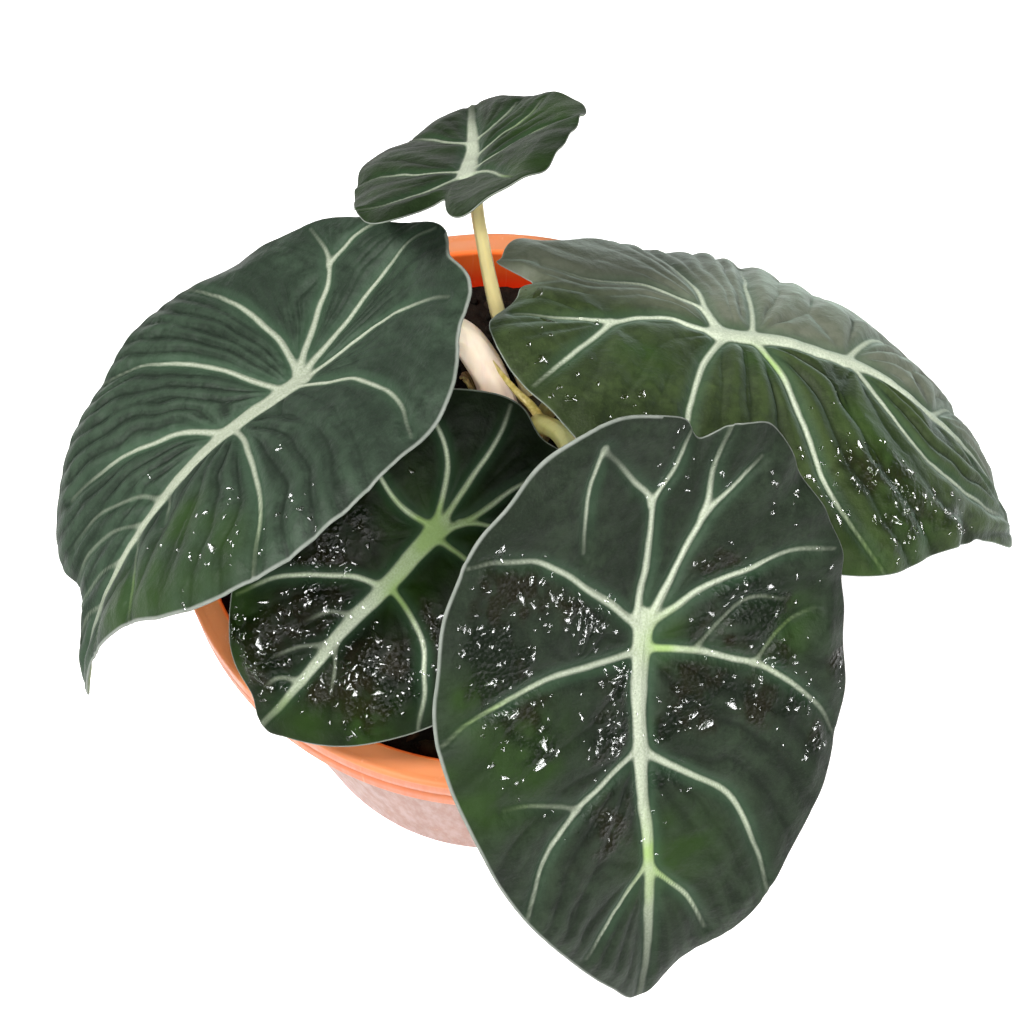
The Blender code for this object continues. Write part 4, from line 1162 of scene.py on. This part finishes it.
def soil_look():
    look = Look("peat")
    where = look.place()
    coarse = look.noise(where, 260.0, 5.0, 0.65)
    fine = look.noise(where, 1400.0, 4.0, 0.7)
    colour = look.mix(look.spread(coarse, 0.3, 0.7), (0.004, 0.0026, 0.002), (0.015, 0.010, 0.007))
    colour = look.mix(look.spread(fine, 0.62, 0.75, 0.0, 0.7), colour, (0.035, 0.023, 0.014))
    normal = look.bump(fine, 0.8, 0.0006, look.bump(coarse, 0.8, 0.0015))
    look.set(Base_Color=colour, Roughness=look.spread(fine, 0.3, 0.7, 0.7, 0.98), Specular_IOR_Level=0.1,
             Normal=normal)
    return look.material


def crumb_look(name, dark, light):
    look = Look(name)
    where = look.place()
    grain = look.noise(where, 900.0, 4.0, 0.65)
    colour = look.mix(look.attribute("tint"), dark, light)
    colour = look.mix(look.spread(grain, 0.4, 0.7, 0.0, 0.6), colour, scaled(dark, 0.5))
    look.set(Base_Color=colour, Roughness=0.88, Specular_IOR_Level=0.12, Normal=look.bump(grain, 0.8, 0.0006))
    return look.material


def pot_look():
    """Thin translucent plastic: strong orange on the collar, paler and pinker on the body as a painted sheen,
    a painted highlight on the rim's top, and redder inside as painted light through the wall, with painted
    shade lower down and a faint painted glow.
    """
    look = Look("pot_orange")
    where = look.place()
    split = look.tree.nodes.new("ShaderNodeSeparateXYZ")
    look.put(split.inputs[0], where)
    x, y, height = split.outputs["X"], split.outputs["Y"], split.outputs["Z"]
    flow = look.streaks(where, (60.0, 60.0, 16.0), 4.0, 0.6)
    grain = look.noise(where, 1800.0, 2.0, 0.5)
    scuff = look.streaks(where, (500.0, 500.0, 40.0), 3.0, 0.7)
    collar = look.mix(look.spread(flow, 0.3, 0.7), (0.54, 0.140, 0.047), (0.61, 0.182, 0.064))
    # The body is painted paler and pinker than the collar: a painted sheen for the haze on its wall.
    body = look.mix(look.spread(flow, 0.3, 0.7), (0.225, 0.084, 0.052), (0.275, 0.108, 0.068))
    colour = look.mix(look.spread(height, 0.0700, 0.0728), body, collar)
    # A painted highlight: the top of the rim is lighter, where it faces the light.
    colour = look.mix(look.spread(height, 0.0812, 0.0819), colour, (0.66, 0.225, 0.088))
    radius = look.maths("SQRT", look.maths("ADD", look.maths("MULTIPLY", x, x), look.maths("MULTIPLY", y, y)))
    slant = look.maths("SUBTRACT", radius, look.maths("MULTIPLY", height, WALL_SLOPE))
    inside = look.maths("MULTIPLY", look.spread(slant, 0.0428, 0.0424), look.spread(radius, 0.0557, 0.0551))
    # The inside is painted light and shade: a strong red for the light shining through the thin wall, darker
    # lower down as painted shade, and a faint painted glow.
    well_light_and_shade = look.mix(look.spread(height, 0.0700, 0.0815), (0.80, 0.022, 0.003), (0.97, 0.20, 0.040))
    colour = look.mix(inside, colour, well_light_and_shade)
    painted_glow = look.mix(inside, (0.0, 0.0, 0.0), (0.10, 0.004, 0.0))
    colour = look.mix(look.spread(scuff, 0.62, 0.80, 0.0, 0.25), colour, (0.92, 0.55, 0.38))
    look.set(Base_Color=colour, Roughness=look.spread(scuff, 0.3, 0.7, 0.34, 0.48), Specular_IOR_Level=0.22,
             Emission_Color=painted_glow, Emission_Strength=1.0, Subsurface_Weight=0.12,
             Subsurface_Radius=(0.004, 0.0015, 0.0008), Subsurface_Scale=0.6,
             Normal=look.bump(grain, 0.15, 0.0001))
    return look.material


def floor_look():
    look = Look("floor_white")
    cloud = look.noise(look.place(), 3.0, 2.0)
    look.set(Base_Color=look.mix(cloud, (0.93, 0.93, 0.93), (0.97, 0.97, 0.97)), Roughness=0.9,
             Emission_Color=(1.0, 1.0, 1.0), Emission_Strength=0.62)
    return look.material


# ---------------------------------------------------------------- the stage

def add_floor():
    points = [(x * FLOOR_REACH, y * FLOOR_REACH, 0.0) for x, y in ((-1, -1), (1, -1), (1, 1), (-1, 1))]
    floor = add_piece("floor", points, [(0, 1, 2, 3)], floor_look(), smooth=False)


def add_lamp(name, place, size, power, colour, role, receivers):
    """A round lamp aimed at the plant. A role with receivers keeps its light to those pieces."""
    data = bpy.data.lights.new(name, "AREA")
    data.shape = "DISK"
    data.size = size
    data.energy = power
    data.color = colour
    lamp = bpy.data.objects.new(name, data)
    lamp.location = place
    lamp.visible_diffuse = role not in ("glints", "drops")
    lamp.rotation_euler = (Vector((0.0, 0.0, 0.1)) - Vector(place)).to_track_quat("-Z", "Y").to_euler()
    bpy.context.scene.collection.objects.link(lamp)
    if role in receivers:
        lamp.light_linking.receiver_collection = receivers[role]


def add_world():
    """A dim studio that is brighter near the horizon."""
    world = bpy.data.worlds.new("studio")
    world.use_nodes = True
    tree = world.node_tree
    split = tree.nodes.new("ShaderNodeSeparateXYZ")
    tree.links.new(tree.nodes.new("ShaderNodeTexCoord").outputs["Generated"], split.inputs[0])
    fade = tree.nodes.new("ShaderNodeMapRange")
    tree.links.new(split.outputs["Z"], fade.inputs["Value"])
    for key, value in (("From Min", 0.05), ("From Max", 0.7), ("To Min", 1.0), ("To Max", 0.22)):
        fade.inputs[key].default_value = value
    tree.links.new(fade.outputs["Result"], tree.nodes["Background"].inputs["Strength"])
    bpy.context.scene.world = world


def add_camera():
    """The camera looks down at the plant from in front."""
    pan, tilt, roll = CAMERA_PAN, CAMERA_TILT, CAMERA_ROLL
    forward = np.array((math.sin(pan) * math.cos(tilt), math.cos(pan) * math.cos(tilt), -math.sin(tilt)))
    level = np.array((math.cos(pan), -math.sin(pan), 0.0))
    above = np.cross(level, forward)
    right = level * math.cos(roll) + above * math.sin(roll)
    up = above * math.cos(roll) - level * math.sin(roll)
    data = bpy.data.cameras.new("camera")
    data.lens = CAMERA_LENS
    data.sensor_width = 36.0
    data.clip_start = 0.01
    camera = bpy.data.objects.new("camera", data)
    rotation = Matrix((right, up, -forward)).transposed().to_4x4()
    camera.matrix_world = Matrix.Translation(CAMERA_PLACE) @ rotation
    bpy.context.scene.collection.objects.link(camera)
    bpy.context.scene.camera = camera


def main():
    bpy.context.scene.view_settings.view_transform = "Standard"
    make_pot(pot_look())
    make_soil(soil_look())
    crumb = crumb_look("crumb", (0.005, 0.0035, 0.0025), (0.022, 0.014, 0.009))
    scatter("peat_crumbs", 1300, (0.35, 1.5), 0.75, 2, 41, crumb, 0.15)
    bark = crumb_look("bark", (0.012, 0.007, 0.004), (0.045, 0.026, 0.014))
    scatter("bark_chips", 70, (1.6, 3.4), 0.35, 2, 42, bark, 0.3)
    make_rhizome(rhizome_look())
    make_cataphyll(husk_look())
    make_sheath(sheath_look())
    receivers = {role: bpy.data.collections.new(role) for role in ("drops", "crown")}
    for name in LEAVES:
        make_blade(name, blade_look(name))
        if SURFACE[name]["wet"]:
            make_drops(name, blade_look(name, wet_piece=True), receivers["drops"])
        make_petiole(name, stalk_look(name, *PETIOLES[name][3:]))
    add_floor()
    for name in CROWN_PIECES:
        receivers["crown"].objects.link(bpy.data.objects[name])
    add_world()
    for lamp in LAMPS:
        add_lamp(*lamp, receivers)
    add_camera()


main()
